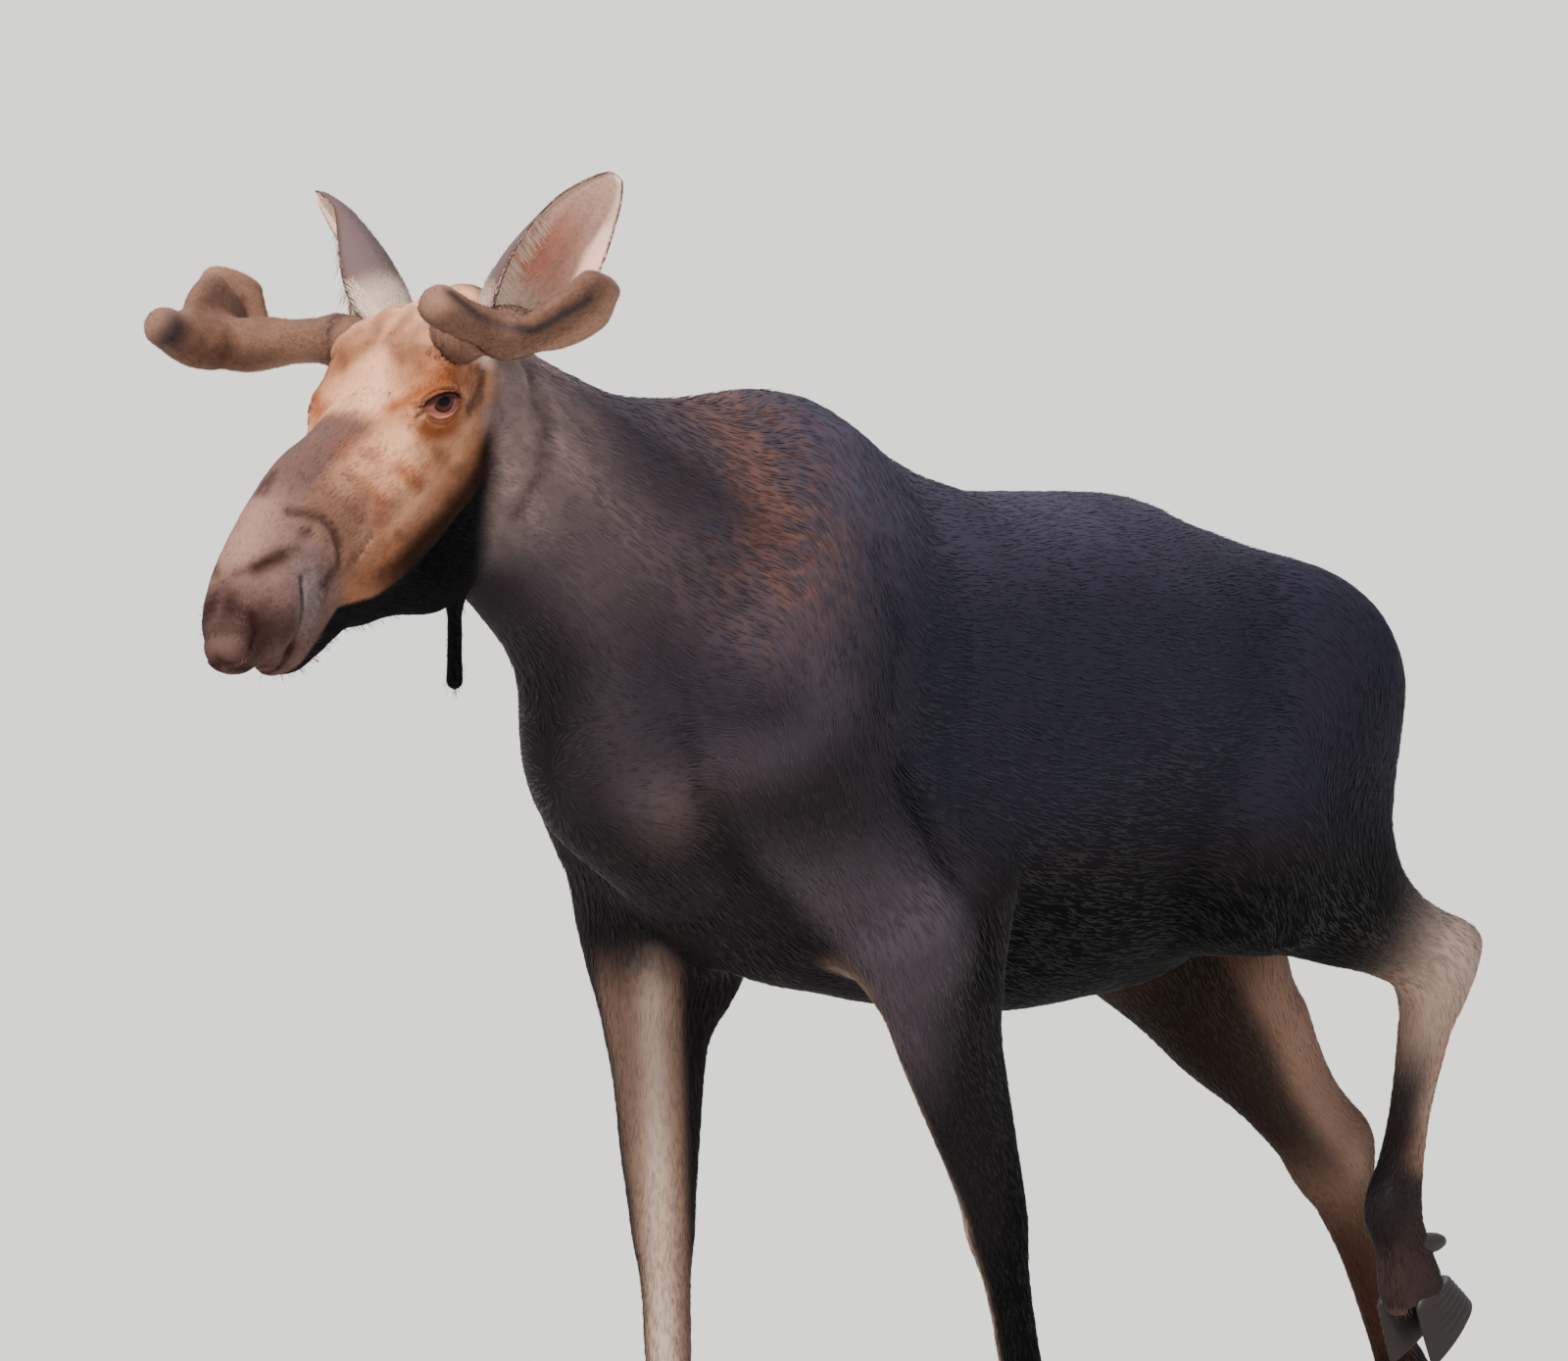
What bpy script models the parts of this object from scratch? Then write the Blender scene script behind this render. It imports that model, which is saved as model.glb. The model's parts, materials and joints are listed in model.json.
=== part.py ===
"""A young bull moose, life size, standing still with its left hind foot lifted.

Metres, +Z up. The animal faces -Y and its left side is +X. It is sculpted as one
body of flesh in a frame whose Y zero lies under the withers, and then parted by
thin cuts into the nodes a person would name. Antlers, ears, eyes, hooves,
dewclaws, bell and tail are solids of their own, seated on the flesh.
"""
import math

import bmesh
import bpy
import numpy as np
from mathutils import Matrix, Vector

# ---------------------------------------------------------------- driving sizes
WITHERS = 1.72           # height of the hump above the floor
GAP = 0.0003             # air between neighbouring solids
CUT = 0.0004             # thickness of a parting cut
FLESH_VOXEL = 0.021      # grain of the flesh before it is thinned out
FLESH_FACES = 4300       # triangles left in the flesh

EYES = (0.0, -0.765, 1.705)      # point midway between the two eyes
HEAD_PITCH = math.radians(48)    # how far the nose points below the horizon
HEAD_ROLL = math.radians(4.5)    # left side of the head a little higher
EYE_RADIUS = 0.020
EYE_SPREAD = 0.0985              # from the middle of the head to an eye's centre

EAR_LENGTH = 0.290
EAR_THICKNESS = 0.011
# Where each ear points in the head's frame, the way it opens, and half its width.
EARS = {
    "left": dict(tip=(0.280, -0.336, 0.053), opening=(0.92, -0.39, 0), half_width=0.066),
    "right": dict(tip=(-0.292, -0.330, 0.062), opening=(-0.80, -0.55, 0), half_width=0.063),
}

HOOF_HEIGHT = 0.074
HOOF_HALF_WIDTH = 0.025
HOOF_TOE = 0.088         # from the middle of the foot forward to the hoof's point
HOOF_HEEL = 0.040        # and back to its heel
CLEFT = 0.007            # between the two hooves of a foot

SIDES = (("left", 1), ("right", -1))


# ---------------------------------------------------------------- forms and blends
def unit(vectors):
    """The vectors scaled to length one."""
    return vectors / np.maximum(np.linalg.norm(vectors, axis=-1, keepdims=True), 1e-9)


def smooth_rows(rows, steps):
    """A Catmull-Rom curve through the rows of a table, with steps samples to a row."""
    rows = np.asarray(rows, float)
    padded = np.vstack([2 * rows[0] - rows[1], rows, 2 * rows[-1] - rows[-2]])
    samples = []
    for index in range(len(rows) - 1):
        a, b, c, d = padded[index:index + 4]
        for t in np.arange(steps) / steps:
            samples.append(0.5 * (2 * b + (c - a) * t + (2 * a - 5 * b + 4 * c - d) * t ** 2
                                  + (3 * b - a - 3 * c + d) * t ** 3))
    samples.append(rows[-1])
    return np.array(samples)


class Form:
    """A tapering body: oval sections strung along a smooth centre line.

    Each station is x, y, z, half width, reach above and reach below the line.
    """

    def __init__(self, stations, above=(0, 0, 1), blend=0.05, steps=5):
        table = smooth_rows(stations, steps)
        self.centre = table[:, :3]
        self.reach = np.maximum(table[:, 3:6], 0.004)
        self.blend = blend
        tangent = unit(np.gradient(self.centre, axis=0))
        self.side = unit(np.cross(tangent, np.asarray(above, float)))
        self.above = np.cross(self.side, tangent)
        self.low = (self.centre - self.reach.max()).min(axis=0)
        self.high = (self.centre + self.reach.max()).max(axis=0)

    def distance(self, points, margin=0.16):
        """About how far each point is outside the form; negative inside it."""
        outside = np.maximum(np.maximum(self.low - points, points - self.high), 0)
        result = np.linalg.norm(outside, axis=1)
        near = result < margin
        if near.any():
            result[near] = self.near_distance(points[near])
        return result

    def near_distance(self, points):
        """The same for points close to the form, from the oval section nearest to each."""
        centre = self.centre
        spread = ((centre ** 2).sum(1)[None, :] - 2 * points @ centre.T)
        nearest = spread.argmin(axis=1)
        best_square = np.full(len(points), np.inf)
        place = np.zeros(len(points))
        for start in (nearest - 1, nearest):
            first = np.clip(start, 0, len(centre) - 2)
            along = centre[first + 1] - centre[first]
            share = ((points - centre[first]) * along).sum(1) / (along ** 2).sum(1)
            share = np.clip(share, 0, 1)
            square = ((points - centre[first] - share[:, None] * along) ** 2).sum(1)
            better = square < best_square
            best_square[better] = square[better]
            place[better] = (first + share)[better]
        first = np.clip(place.astype(int), 0, len(centre) - 2)
        share = (place - first)[:, None]

        def between(rows):
            return rows[first] * (1 - share) + rows[first + 1] * share

        offset = points - between(centre)
        across = (offset * between(self.side)).sum(1)
        height = (offset * between(self.above)).sum(1)
        reach = between(self.reach)
        depth = np.where(height > 0, reach[:, 1], reach[:, 2])
        length = np.sqrt((offset ** 2).sum(1))
        beyond = np.sqrt(np.maximum(length ** 2 - across ** 2 - height ** 2, 0))
        cap = np.minimum(reach[:, 0], depth)
        ratio = np.sqrt((across / reach[:, 0]) ** 2 + (height / depth) ** 2 + (beyond / cap) ** 2)
        return np.where(ratio > 1e-6, length * (1 - 1 / np.maximum(ratio, 1e-6)), -cap)

    def shell(self, sides=12):
        """Rings of a closed tube slightly inside the form, with rounded ends."""
        angles = 2 * math.pi * np.arange(sides) / sides

        def ring(index, tilt, outward):
            reach = 0.96 * self.reach[index]
            depth = np.where(np.sin(angles) > 0, reach[1], reach[2])
            forward = np.cross(self.above[index], self.side[index])
            lift = outward * math.sin(tilt) * reach.min() * forward
            return (self.centre[index] + lift
                    + math.cos(tilt) * np.outer(np.cos(angles) * reach[0], self.side[index])
                    + math.cos(tilt) * np.outer(np.sin(angles) * depth, self.above[index]))

        tilts = [math.radians(angle) for angle in (80, 55, 28)]
        rings = [ring(0, tilt, -1) for tilt in tilts]
        rings += [ring(index, 0, 0) for index in range(len(self.centre))]
        rings += [ring(-1, tilt, 1) for tilt in reversed(tilts)]
        return rings


def soft_union(first, second, blend):
    """The nearer of two distances, rounded where they are within blend of each other."""
    share = np.maximum(blend - np.abs(first - second), 0) / blend
    return np.minimum(first, second) - share ** 2 * blend / 4


def distance_to(forms, points):
    """Distance from the points to all forms melted together."""
    total = forms[0].distance(points)
    for form in forms[1:]:
        total = soft_union(total, form.distance(points), form.blend)
    return total


def settle(vertices, forms, rounds=5):
    """Move vertices onto the melted surface of the forms."""
    probe = 0.002
    corners = np.array([(1, 1, 1), (1, -1, -1), (-1, 1, -1), (-1, -1, 1)], float)
    for _ in range(rounds):
        distance = distance_to(forms, vertices)
        slope = np.zeros_like(vertices)
        for corner in corners:
            slope += corner * distance_to(forms, vertices + probe * corner)[:, None]
        vertices = vertices - unit(slope) * np.clip(distance, -0.02, 0.02)[:, None]
    return vertices


# ---------------------------------------------------------------- mesh helpers
def make_object(name, vertices, faces):
    """A new object from vertices and faces."""
    mesh = bpy.data.meshes.new(name)
    mesh.from_pydata([tuple(v) for v in vertices], [], faces)
    obj = bpy.data.objects.new(name, mesh)
    bpy.context.scene.collection.objects.link(obj)
    return obj


def ring_solid(rings):
    """Vertices and faces of a closed solid through rings of equally many points."""
    count = len(rings[0])
    vertices = [point for ring in rings for point in ring]
    faces = []
    for level in range(len(rings) - 1):
        for k in range(count):
            a = level * count + k
            b = level * count + (k + 1) % count
            faces.append((a, b, b + count, a + count))
    faces.append(tuple(reversed(range(count))))
    faces.append(tuple(range((len(rings) - 1) * count, len(rings) * count)))
    return vertices, faces


def face_outward(obj):
    """Turn the faces of a closed mesh outward."""
    mesh = bmesh.new()
    mesh.from_mesh(obj.data)
    bmesh.ops.recalc_face_normals(mesh, faces=mesh.faces)
    if mesh.calc_volume(signed=True) < 0:
        bmesh.ops.reverse_faces(mesh, faces=mesh.faces)
    mesh.to_mesh(obj.data)
    mesh.free()


def apply_modifier(obj, kind, **settings):
    """Add a modifier, set it up and replace the mesh by its result."""
    modifier = obj.modifiers.new(kind.title(), kind)
    for key, value in settings.items():
        setattr(modifier, key, value)
    graph = bpy.context.evaluated_depsgraph_get()
    result = bpy.data.meshes.new_from_object(obj.evaluated_get(graph))
    obj.modifiers.clear()
    obj.data = result


def join(name, objects):
    """One object from several, the others removed."""
    target = bmesh.new()
    for obj in objects:
        target.from_mesh(obj.data)
        bpy.data.objects.remove(obj)
    mesh = bpy.data.meshes.new(name)
    target.to_mesh(mesh)
    target.free()
    joined = bpy.data.objects.new(name, mesh)
    bpy.context.scene.collection.objects.link(joined)
    return joined


def melt(name, forms, voxel, faces):
    """A closed mesh of the forms melted together, thinned to a number of triangles."""
    shells = []
    for index, form in enumerate(forms):
        vertices, quads = ring_solid(form.shell())
        shell = make_object(f"{name}_shell_{index}", vertices, quads)
        face_outward(shell)
        shells.append(shell)
    obj = join(name, shells)
    apply_modifier(obj, "REMESH", mode="VOXEL", voxel_size=voxel)
    vertices = np.array([v.co[:] for v in obj.data.vertices])
    obj.data.vertices.foreach_set("co", settle(vertices, forms).ravel())
    obj.data.update()
    apply_modifier(obj, "TRIANGULATE")
    share = min(1.0, faces / len(obj.data.polygons))
    apply_modifier(obj, "DECIMATE", ratio=share)
    tidy_mesh(obj)
    return obj


def tidy_mesh(obj):
    """Dissolve slivers and leave one closed, outward body of triangles."""
    mesh = bmesh.new()
    mesh.from_mesh(obj.data)
    bmesh.ops.dissolve_degenerate(mesh, dist=0.0002, edges=mesh.edges)
    bmesh.ops.triangulate(mesh, faces=mesh.faces)
    bmesh.ops.recalc_face_normals(mesh, faces=mesh.faces)
    mesh.to_mesh(obj.data)
    mesh.free()


def boolean(obj, cutter, operation="DIFFERENCE"):
    """Cut an object by another, which is kept."""
    apply_modifier(obj, "BOOLEAN", object=cutter, operation=operation, solver="EXACT")


def swollen(obj, amount):
    """A copy of a mesh grown along its normals."""
    copy = bpy.data.objects.new(obj.name + "_swollen", obj.data.copy())
    bpy.context.scene.collection.objects.link(copy)
    for vertex, normal in zip(copy.data.vertices, [v.normal.copy() for v in obj.data.vertices]):
        vertex.co += normal * amount
    return copy


def seat(obj, base):
    """Cut from an object all that lies within the base, which is a swollen copy."""
    boolean(obj, base)
    keep_largest(obj)


def islands(mesh):
    """The connected parts of a bmesh, as lists of vertices."""
    left = set(mesh.verts)
    found = []
    while left:
        stack = [left.pop()]
        part = []
        while stack:
            vertex = stack.pop()
            part.append(vertex)
            for edge in vertex.link_edges:
                other = edge.other_vert(vertex)
                if other in left:
                    left.remove(other)
                    stack.append(other)
        found.append(part)
    return found


def keep_largest(obj):
    """Delete all but the largest connected part of a mesh."""
    mesh = bmesh.new()
    mesh.from_mesh(obj.data)
    parts = sorted(islands(mesh), key=len)
    for part in parts[:-1]:
        bmesh.ops.delete(mesh, geom=part, context="VERTS")
    mesh.to_mesh(obj.data)
    mesh.free()


def slab(centre, normal, half_across, half_along, thickness=CUT):
    """A thin block to part a mesh with, square to a normal that has little or no X."""
    turn = Vector(normal).normalized().to_track_quat("Z", "Y").to_matrix().to_4x4()
    mesh = bmesh.new()
    size = Matrix.Diagonal((2 * half_across, 2 * half_along, thickness, 1))
    bmesh.ops.create_cube(mesh, size=1, matrix=Matrix.Translation(centre) @ turn @ size)
    data = bpy.data.meshes.new("slab")
    mesh.to_mesh(data)
    mesh.free()
    obj = bpy.data.objects.new("slab", data)
    bpy.context.scene.collection.objects.link(obj)
    return obj


def part_off(obj, name, centre, normal, half_across, half_along):
    """Cut a mesh by a slab; the piece on the normal's side becomes a new object.

    The piece is the part that touches the cut from that side, close to its centre.
    """
    cutter = slab(centre, normal, half_across, half_along)
    boolean(obj, cutter)
    bpy.data.objects.remove(cutter)
    centre = Vector(centre)
    normal = Vector(normal).normalized()
    mesh = bmesh.new()
    mesh.from_mesh(obj.data)
    parts = islands(mesh)
    if len(parts) < 2:
        raise RuntimeError(f"the cut at {name} doesn't go all the way through")

    def nearest_gap(part):
        near = [v.co for v in part if 0 < (v.co - centre).dot(normal) < 2 * CUT]
        near = [co for co in near if (co - centre).length < max(half_across, half_along)]
        return min([(co - centre).length for co in near], default=9.0)

    piece = min(parts, key=nearest_gap)
    indices = {v.index for v in piece}
    other = mesh.copy()
    bmesh.ops.delete(mesh, geom=[v for v in mesh.verts if v.index in indices], context="VERTS")
    other.verts.index_update()
    bmesh.ops.delete(other, geom=[v for v in other.verts if v.index not in indices], context="VERTS")
    mesh.to_mesh(obj.data)
    data = bpy.data.meshes.new(name)
    other.to_mesh(data)
    mesh.free()
    other.free()
    new = bpy.data.objects.new(name, data)
    bpy.context.scene.collection.objects.link(new)
    return new


# ---------------------------------------------------------------- the head's own frame
def head_axes():
    """Head frame: across to the animal's left, forward to the nose, up from the brow."""
    forward = Vector((0, -math.cos(HEAD_PITCH), -math.sin(HEAD_PITCH)))
    up = Vector((0, -math.sin(HEAD_PITCH), math.cos(HEAD_PITCH)))
    roll = Matrix.Rotation(HEAD_ROLL, 3, forward)
    return roll @ Vector((1, 0, 0)), forward, roll @ up


HEAD_ACROSS, HEAD_FORWARD, HEAD_UP = head_axes()


def at_head(across, forward, up):
    """A point given in the head's frame."""
    return Vector(EYES) + HEAD_ACROSS * across + HEAD_FORWARD * forward + HEAD_UP * up


def head_form(stations, blend, above=None):
    """A form whose stations are across, forward, up, half width, above and below."""
    rows = [(*at_head(*row[:3]), *row[3:]) for row in stations]
    return Form(rows, above=above or HEAD_UP, blend=blend)


def mirrored(rows, sign):
    """Rows of a table with their first value mirrored for the right side."""
    return [(sign * row[0], *row[1:]) for row in rows]


# ---------------------------------------------------------------- trunk and neck
def trunk_forms():
    """Barrel, withers, brisket and sheath."""
    barrel = Form([
        (0, -0.29, 1.21, 0.130, 0.14, 0.14),
        (0, -0.20, 1.24, 0.185, 0.23, 0.23),
        (0, -0.03, 1.25, 0.215, 0.33, 0.33),
        (0, 0.17, 1.22, 0.235, 0.345, 0.355),
        (0, 0.40, 1.19, 0.265, 0.366, 0.372),
        (0, 0.60, 1.185, 0.272, 0.365, 0.365),
        (0, 0.80, 1.19, 0.250, 0.345, 0.325),
        (0, 0.95, 1.21, 0.205, 0.276, 0.260),
        (0, 1.06, 1.22, 0.150, 0.190, 0.190),
        (0, 1.11, 1.23, 0.100, 0.120, 0.120)])
    withers = Form([
        (0, -0.26, 1.51, 0.060, 0.120, 0.16),
        (0, -0.12, 1.545, 0.070, 0.134, 0.18),
        (0, 0.01, WITHERS - 0.15, 0.075, 0.140, 0.20),
        (0, 0.12, 1.51, 0.080, 0.145, 0.20),
        (0, 0.26, 1.44, 0.080, 0.120, 0.16)], blend=0.12)
    brisket = Form([
        (0, -0.25, 1.15, 0.100, 0.10, 0.08),
        (0, -0.16, 1.06, 0.115, 0.10, 0.085),
        (0, 0.00, 0.99, 0.105, 0.09, 0.070),
        (0, 0.20, 0.96, 0.090, 0.09, 0.065)], blend=0.10)
    sheath = Form([
        (0, 0.70, 0.885, 0.040, 0.03, 0.030),
        (0, 0.80, 0.885, 0.045, 0.03, 0.035),
        (0, 0.90, 0.920, 0.035, 0.03, 0.030)], blend=0.06)
    return [barrel, withers, brisket, sheath]


def neck_form():
    """The neck, from between the shoulders to behind the skull."""
    return Form([
        (0, 0.00, 1.36, 0.140, 0.22, 0.22),
        (0, -0.22, 1.47, 0.160, 0.210, 0.250),
        (0, -0.40, 1.575, 0.138, 0.158, 0.220),
        (0, -0.53, 1.660, 0.118, 0.125, 0.185),
        (0, -0.61, 1.725, 0.105, 0.100, 0.150),
        (0, -0.65, 1.770, 0.090, 0.070, 0.110)], blend=0.12)


# ---------------------------------------------------------------- legs
# Where the joints of each leg lie, from the trunk down to the coronet.
FORELEG_JOINTS = {
    "left": dict(shoulder=(0.190, -0.17, 1.21), elbow=(0.190, 0.125, 0.97), knee=(0.153, 0.312, 0.575),
                 fetlock=(0.132, 0.425, 0.205), coronet=(0.127, 0.395, 0.092)),
    "right": dict(shoulder=(-0.190, -0.19, 1.21), elbow=(-0.180, -0.02, 0.96), knee=(-0.142, -0.045, 0.575),
                  fetlock=(-0.135, -0.035, 0.205), coronet=(-0.132, -0.070, 0.092)),
}
HINDLEG_JOINTS = {
    "left": dict(hip=(0.130, 1.02, 1.29), stifle=(0.185, 0.80, 1.03), hock=(0.170, 1.260, 0.850),
                 heel=(0.170, 1.338, 0.878), fetlock=(0.170, 1.163, 0.505),
                 coronet=(0.170, 1.205, 0.402)),
    "right": dict(hip=(-0.130, 1.03, 1.28), stifle=(-0.165, 1.02, 0.90), hock=(-0.125, 1.375, 0.545),
                  heel=(-0.122, 1.440, 0.575), fetlock=(-0.120, 1.545, 0.205),
                  coronet=(-0.120, 1.512, 0.092)),
}
# Sections along each bone: share of its length, half width, reach to the front and rear.
FOREARM = ((0.0, 0.076, 0.112, 0.120), (0.3, 0.062, 0.102, 0.104), (0.53, 0.053, 0.085, 0.085),
           (0.78, 0.049, 0.067, 0.070), (1.0, 0.048, 0.052, 0.055))
FORE_CANNON = ((0.0, 0.048, 0.052, 0.055), (0.13, 0.046, 0.048, 0.050), (0.35, 0.035, 0.034, 0.042),
               (0.75, 0.033, 0.032, 0.040), (1.0, 0.040, 0.040, 0.047))
GASKIN = ((0.0, 0.105, 0.120, 0.150), (0.25, 0.090, 0.100, 0.135), (0.5, 0.070, 0.080, 0.105),
          (0.75, 0.053, 0.062, 0.075), (1.0, 0.045, 0.055, 0.058))
HIND_CANNON = ((0.0, 0.045, 0.055, 0.058), (0.2, 0.041, 0.043, 0.050), (0.45, 0.035, 0.033, 0.040),
               (0.8, 0.034, 0.032, 0.040), (1.0, 0.041, 0.041, 0.048))
PASTERN = ((0.5, 0.039, 0.038, 0.040), (1.0, 0.047, 0.048, 0.042), (1.25, 0.049, 0.050, 0.042))
FRONT = (0, -1, 0)
THIGH_CUT = {"left": 0.76, "right": 0.44}    # share of the gaskin left on the trunk


def bone(start, end, sections):
    """Stations along a bone from its shared table of sections."""
    start = np.array(start)
    end = np.array(end)
    return [(*(start + share * (end - start)), *size) for share, *size in sections]


def foreleg_forms(joints):
    """Shoulder blade, upper arm and the leg down to the coronet."""
    shoulder = np.array(joints["shoulder"])
    elbow = np.array(joints["elbow"])
    sign = math.copysign(1, shoulder[0])
    blade = Form([
        (sign * 0.070, 0.08, 1.59, 0.045, 0.09, 0.10),
        (sign * 0.120, 0.01, 1.47, 0.070, 0.12, 0.15),
        (sign * 0.155, -0.06, 1.33, 0.080, 0.13, 0.18),
        (*(shoulder + (-sign * 0.025, 0.04, 0)), 0.080, 0.10, 0.18)], above=FRONT, blend=0.10)
    arm = Form([
        (*(shoulder + (-sign * 0.02, 0.04, 0)), 0.070, 0.09, 0.12),
        (*(0.5 * (shoulder + elbow) + (0, 0.01, 0)), 0.075, 0.09, 0.14),
        (*elbow, 0.074, 0.105, 0.120)], above=FRONT, blend=0.09)
    rows = bone(elbow, joints["knee"], FOREARM)
    rows += bone(joints["knee"], joints["fetlock"], FORE_CANNON)[1:]
    rows += bone(joints["fetlock"], joints["coronet"], PASTERN)
    point = elbow + (0, 0.10, 0.03)
    olecranon = Form([
        (*(point + (0, 0.0, 0.05)), 0.045, 0.06, 0.045),
        (*point, 0.045, 0.06, 0.042),
        (*(elbow + (-sign * 0.01, 0.10, -0.09)), 0.040, 0.05, 0.030)], above=FRONT, blend=0.07)
    return [blade, arm, Form(rows, above=FRONT, blend=0.07), olecranon]


def hindleg_forms(joints):
    """Haunch, thigh, gaskin with its tendon, and the leg down to the coronet."""
    hip = np.array(joints["hip"])
    stifle = np.array(joints["stifle"])
    hock = np.array(joints["hock"])
    fetlock = np.array(joints["fetlock"])
    sign = math.copysign(1, hip[0])
    haunch = Form([
        (sign * 0.10, 0.86, 1.34, 0.090, 0.10, 0.13),
        (sign * 0.120, 0.97, 1.30, 0.115, 0.12, 0.17),
        (sign * 0.105, 1.08, 1.24, 0.095, 0.11, 0.16)], blend=0.09)
    thigh = Form([
        (*hip, 0.115, 0.15, 0.14),
        (*(0.5 * (hip + stifle) + (0, 0.03, 0)), 0.115, 0.155, 0.16),
        (*stifle, 0.095, 0.115, 0.14)], above=FRONT, blend=0.10)
    buttock = Form([
        (sign * 0.080, 1.08, 1.24, 0.080, 0.10, 0.050),
        (sign * 0.115, 1.105, 1.10, 0.085, 0.12, 0.058),
        (*(0.55 * stifle + 0.45 * hock + (0, 0.02, 0.03)), 0.075, 0.10, 0.080)], above=FRONT, blend=0.09)
    gaskin = Form(bone(stifle, hock, GASKIN), above=FRONT, blend=0.08)
    rows = bone(hock, fetlock, HIND_CANNON) + bone(fetlock, joints["coronet"], PASTERN)
    cannon = Form(rows, above=FRONT, blend=0.04)
    heel = np.array(joints["heel"])
    shin = hock - stifle
    shank = unit(fetlock - hock)
    behind = unit(heel - hock)
    tendon = Form([
        (*(stifle + 0.52 * shin + 0.080 * unit(unit(shin) - shank)), 0.040, 0.035, 0.030),
        (*(0.45 * heel + 0.55 * (stifle + 0.62 * shin) + 0.035 * behind), 0.028, 0.030, 0.024),
        (*heel, 0.025, 0.028, 0.024),
        (*(hock + 0.06 * shank + 0.030 * behind), 0.027, 0.025, 0.020)], above=FRONT, blend=0.045)
    return [haunch, thigh, buttock, gaskin, cannon, tendon]


# ---------------------------------------------------------------- head
def head_forms():
    """Skull, muzzle, jaw, cheeks, brows and the stumps that carry the antlers."""
    skull = head_form([
        (0, -0.190, -0.050, 0.060, 0.050, 0.070),
        (0, -0.130, -0.050, 0.090, 0.068, 0.090),
        (0, -0.060, -0.052, 0.104, 0.084, 0.095),
        (0, 0.020, -0.058, 0.100, 0.096, 0.105),
        (0, 0.110, -0.050, 0.082, 0.108, 0.108),
        (0, 0.190, -0.036, 0.073, 0.120, 0.106),
        (0, 0.270, -0.022, 0.072, 0.108, 0.088),
        (0, 0.340, -0.010, 0.075, 0.084, 0.066),
        (0, 0.393, -0.005, 0.067, 0.054, 0.054),
        (0, 0.422, -0.008, 0.049, 0.032, 0.038)], blend=0.03)
    jaw = head_form([
        (0, 0.010, -0.120, 0.074, 0.05, 0.050),
        (0, 0.110, -0.125, 0.064, 0.05, 0.050),
        (0, 0.210, -0.112, 0.050, 0.045, 0.044),
        (0, 0.300, -0.096, 0.042, 0.035, 0.038),
        (0, 0.365, -0.082, 0.040, 0.030, 0.033),
        (0, 0.392, -0.072, 0.030, 0.020, 0.022)], blend=0.03)
    throat = head_form([
        (0, 0.235, -0.150, 0.022, 0.03, 0.018),
        (0, 0.185, -0.190, 0.028, 0.04, 0.024),
        (0, 0.130, -0.232, 0.030, 0.05, 0.036),
        (0, 0.070, -0.245, 0.030, 0.06, 0.036),
        (0, 0.000, -0.240, 0.035, 0.06, 0.035)], blend=0.05)
    forms = [skull, jaw, throat]
    for _, sign in SIDES:
        brow = head_form(mirrored([
            (0.070, -0.050, 0.010, 0.030, 0.020, 0.020),
            (0.088, -0.010, 0.002, 0.032, 0.024, 0.024),
            (0.078, 0.050, -0.012, 0.026, 0.020, 0.020)], sign), blend=0.04)
        cheek = head_form(mirrored([
            (0.080, -0.020, -0.045, 0.026, 0.030, 0.030),
            (0.072, 0.060, -0.050, 0.022, 0.026, 0.028),
            (0.056, 0.150, -0.040, 0.016, 0.022, 0.024)], sign), blend=0.04)
        mandible = head_form(mirrored([
            (0.060, -0.050, -0.106, 0.025, 0.030, 0.032),
            (0.056, 0.000, -0.136, 0.024, 0.030, 0.030),
            (0.050, 0.045, -0.141, 0.024, 0.030, 0.029),
            (0.046, 0.100, -0.136, 0.022, 0.030, 0.028),
            (0.042, 0.160, -0.125, 0.020, 0.028, 0.025),
            (0.036, 0.225, -0.108, 0.018, 0.024, 0.022)], sign), blend=0.03)
        pedicle = head_form(mirrored([
            (0.050, -0.085, 0.000, 0.036, 0.036, 0.036),
            (0.098, -0.092, 0.014, 0.031, 0.031, 0.031)], sign), blend=0.05)
        forms += [brow, cheek, mandible, pedicle]
    return forms


def ear(side, sign):
    """A leaf-shaped scoop with a rolled base, open to the side and front."""
    base = at_head(sign * 0.080, -0.158, -0.046)
    axis = (at_head(*EARS[side]["tip"]) - base).normalized()
    opening = Vector(EARS[side]["opening"])
    opening = (opening - axis * opening.dot(axis)).normalized()
    across = axis.cross(opening)
    rings = []
    for share in (0.0, 0.12, 0.25, 0.38, 0.52, 0.66, 0.80, 0.92, 1.0):
        profile = math.sin(math.pi * (0.10 + 0.87 * share) ** 0.95) ** 0.62
        half_width = EARS[side]["half_width"] * profile
        spread = math.radians(150 - 85 * min(1.0, share * 1.3))
        radius = half_width / math.sin(min(spread, math.pi / 2))
        wall = min(EAR_THICKNESS, 0.45 * radius)
        middle = base + axis * (EAR_LENGTH * share) + opening * (0.4 * radius)
        steps = 6
        ring = []
        for reach, order in ((radius, range(steps + 1)), (radius - wall, range(steps, -1, -1))):
            for k in order:
                angle = spread * (2 * k / steps - 1)
                beside = across * (reach * math.sin(angle))
                ring.append(middle + beside - opening * (reach * math.cos(angle)))
        rings.append(ring)
    obj = make_object(f"ear_{side}", *ring_solid(rings))
    face_outward(obj)
    tidy_mesh(obj)
    return obj


# Rows of each palm's two lobes: across, forward, up, half width, thickness above and below.
FRONT_PALM = {
    "left": [(0.262, -0.050, 0.074, 0.032, 0.030, 0.030),
             (0.262, -0.026, 0.124, 0.030, 0.029, 0.029),
             (0.260, -0.010, 0.172, 0.031, 0.031, 0.031)],
    "right": [(0.262, -0.046, 0.076, 0.034, 0.034, 0.034),
              (0.260, -0.006, 0.126, 0.032, 0.034, 0.034),
              (0.258, 0.012, 0.180, 0.031, 0.030, 0.030)],
}
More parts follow.
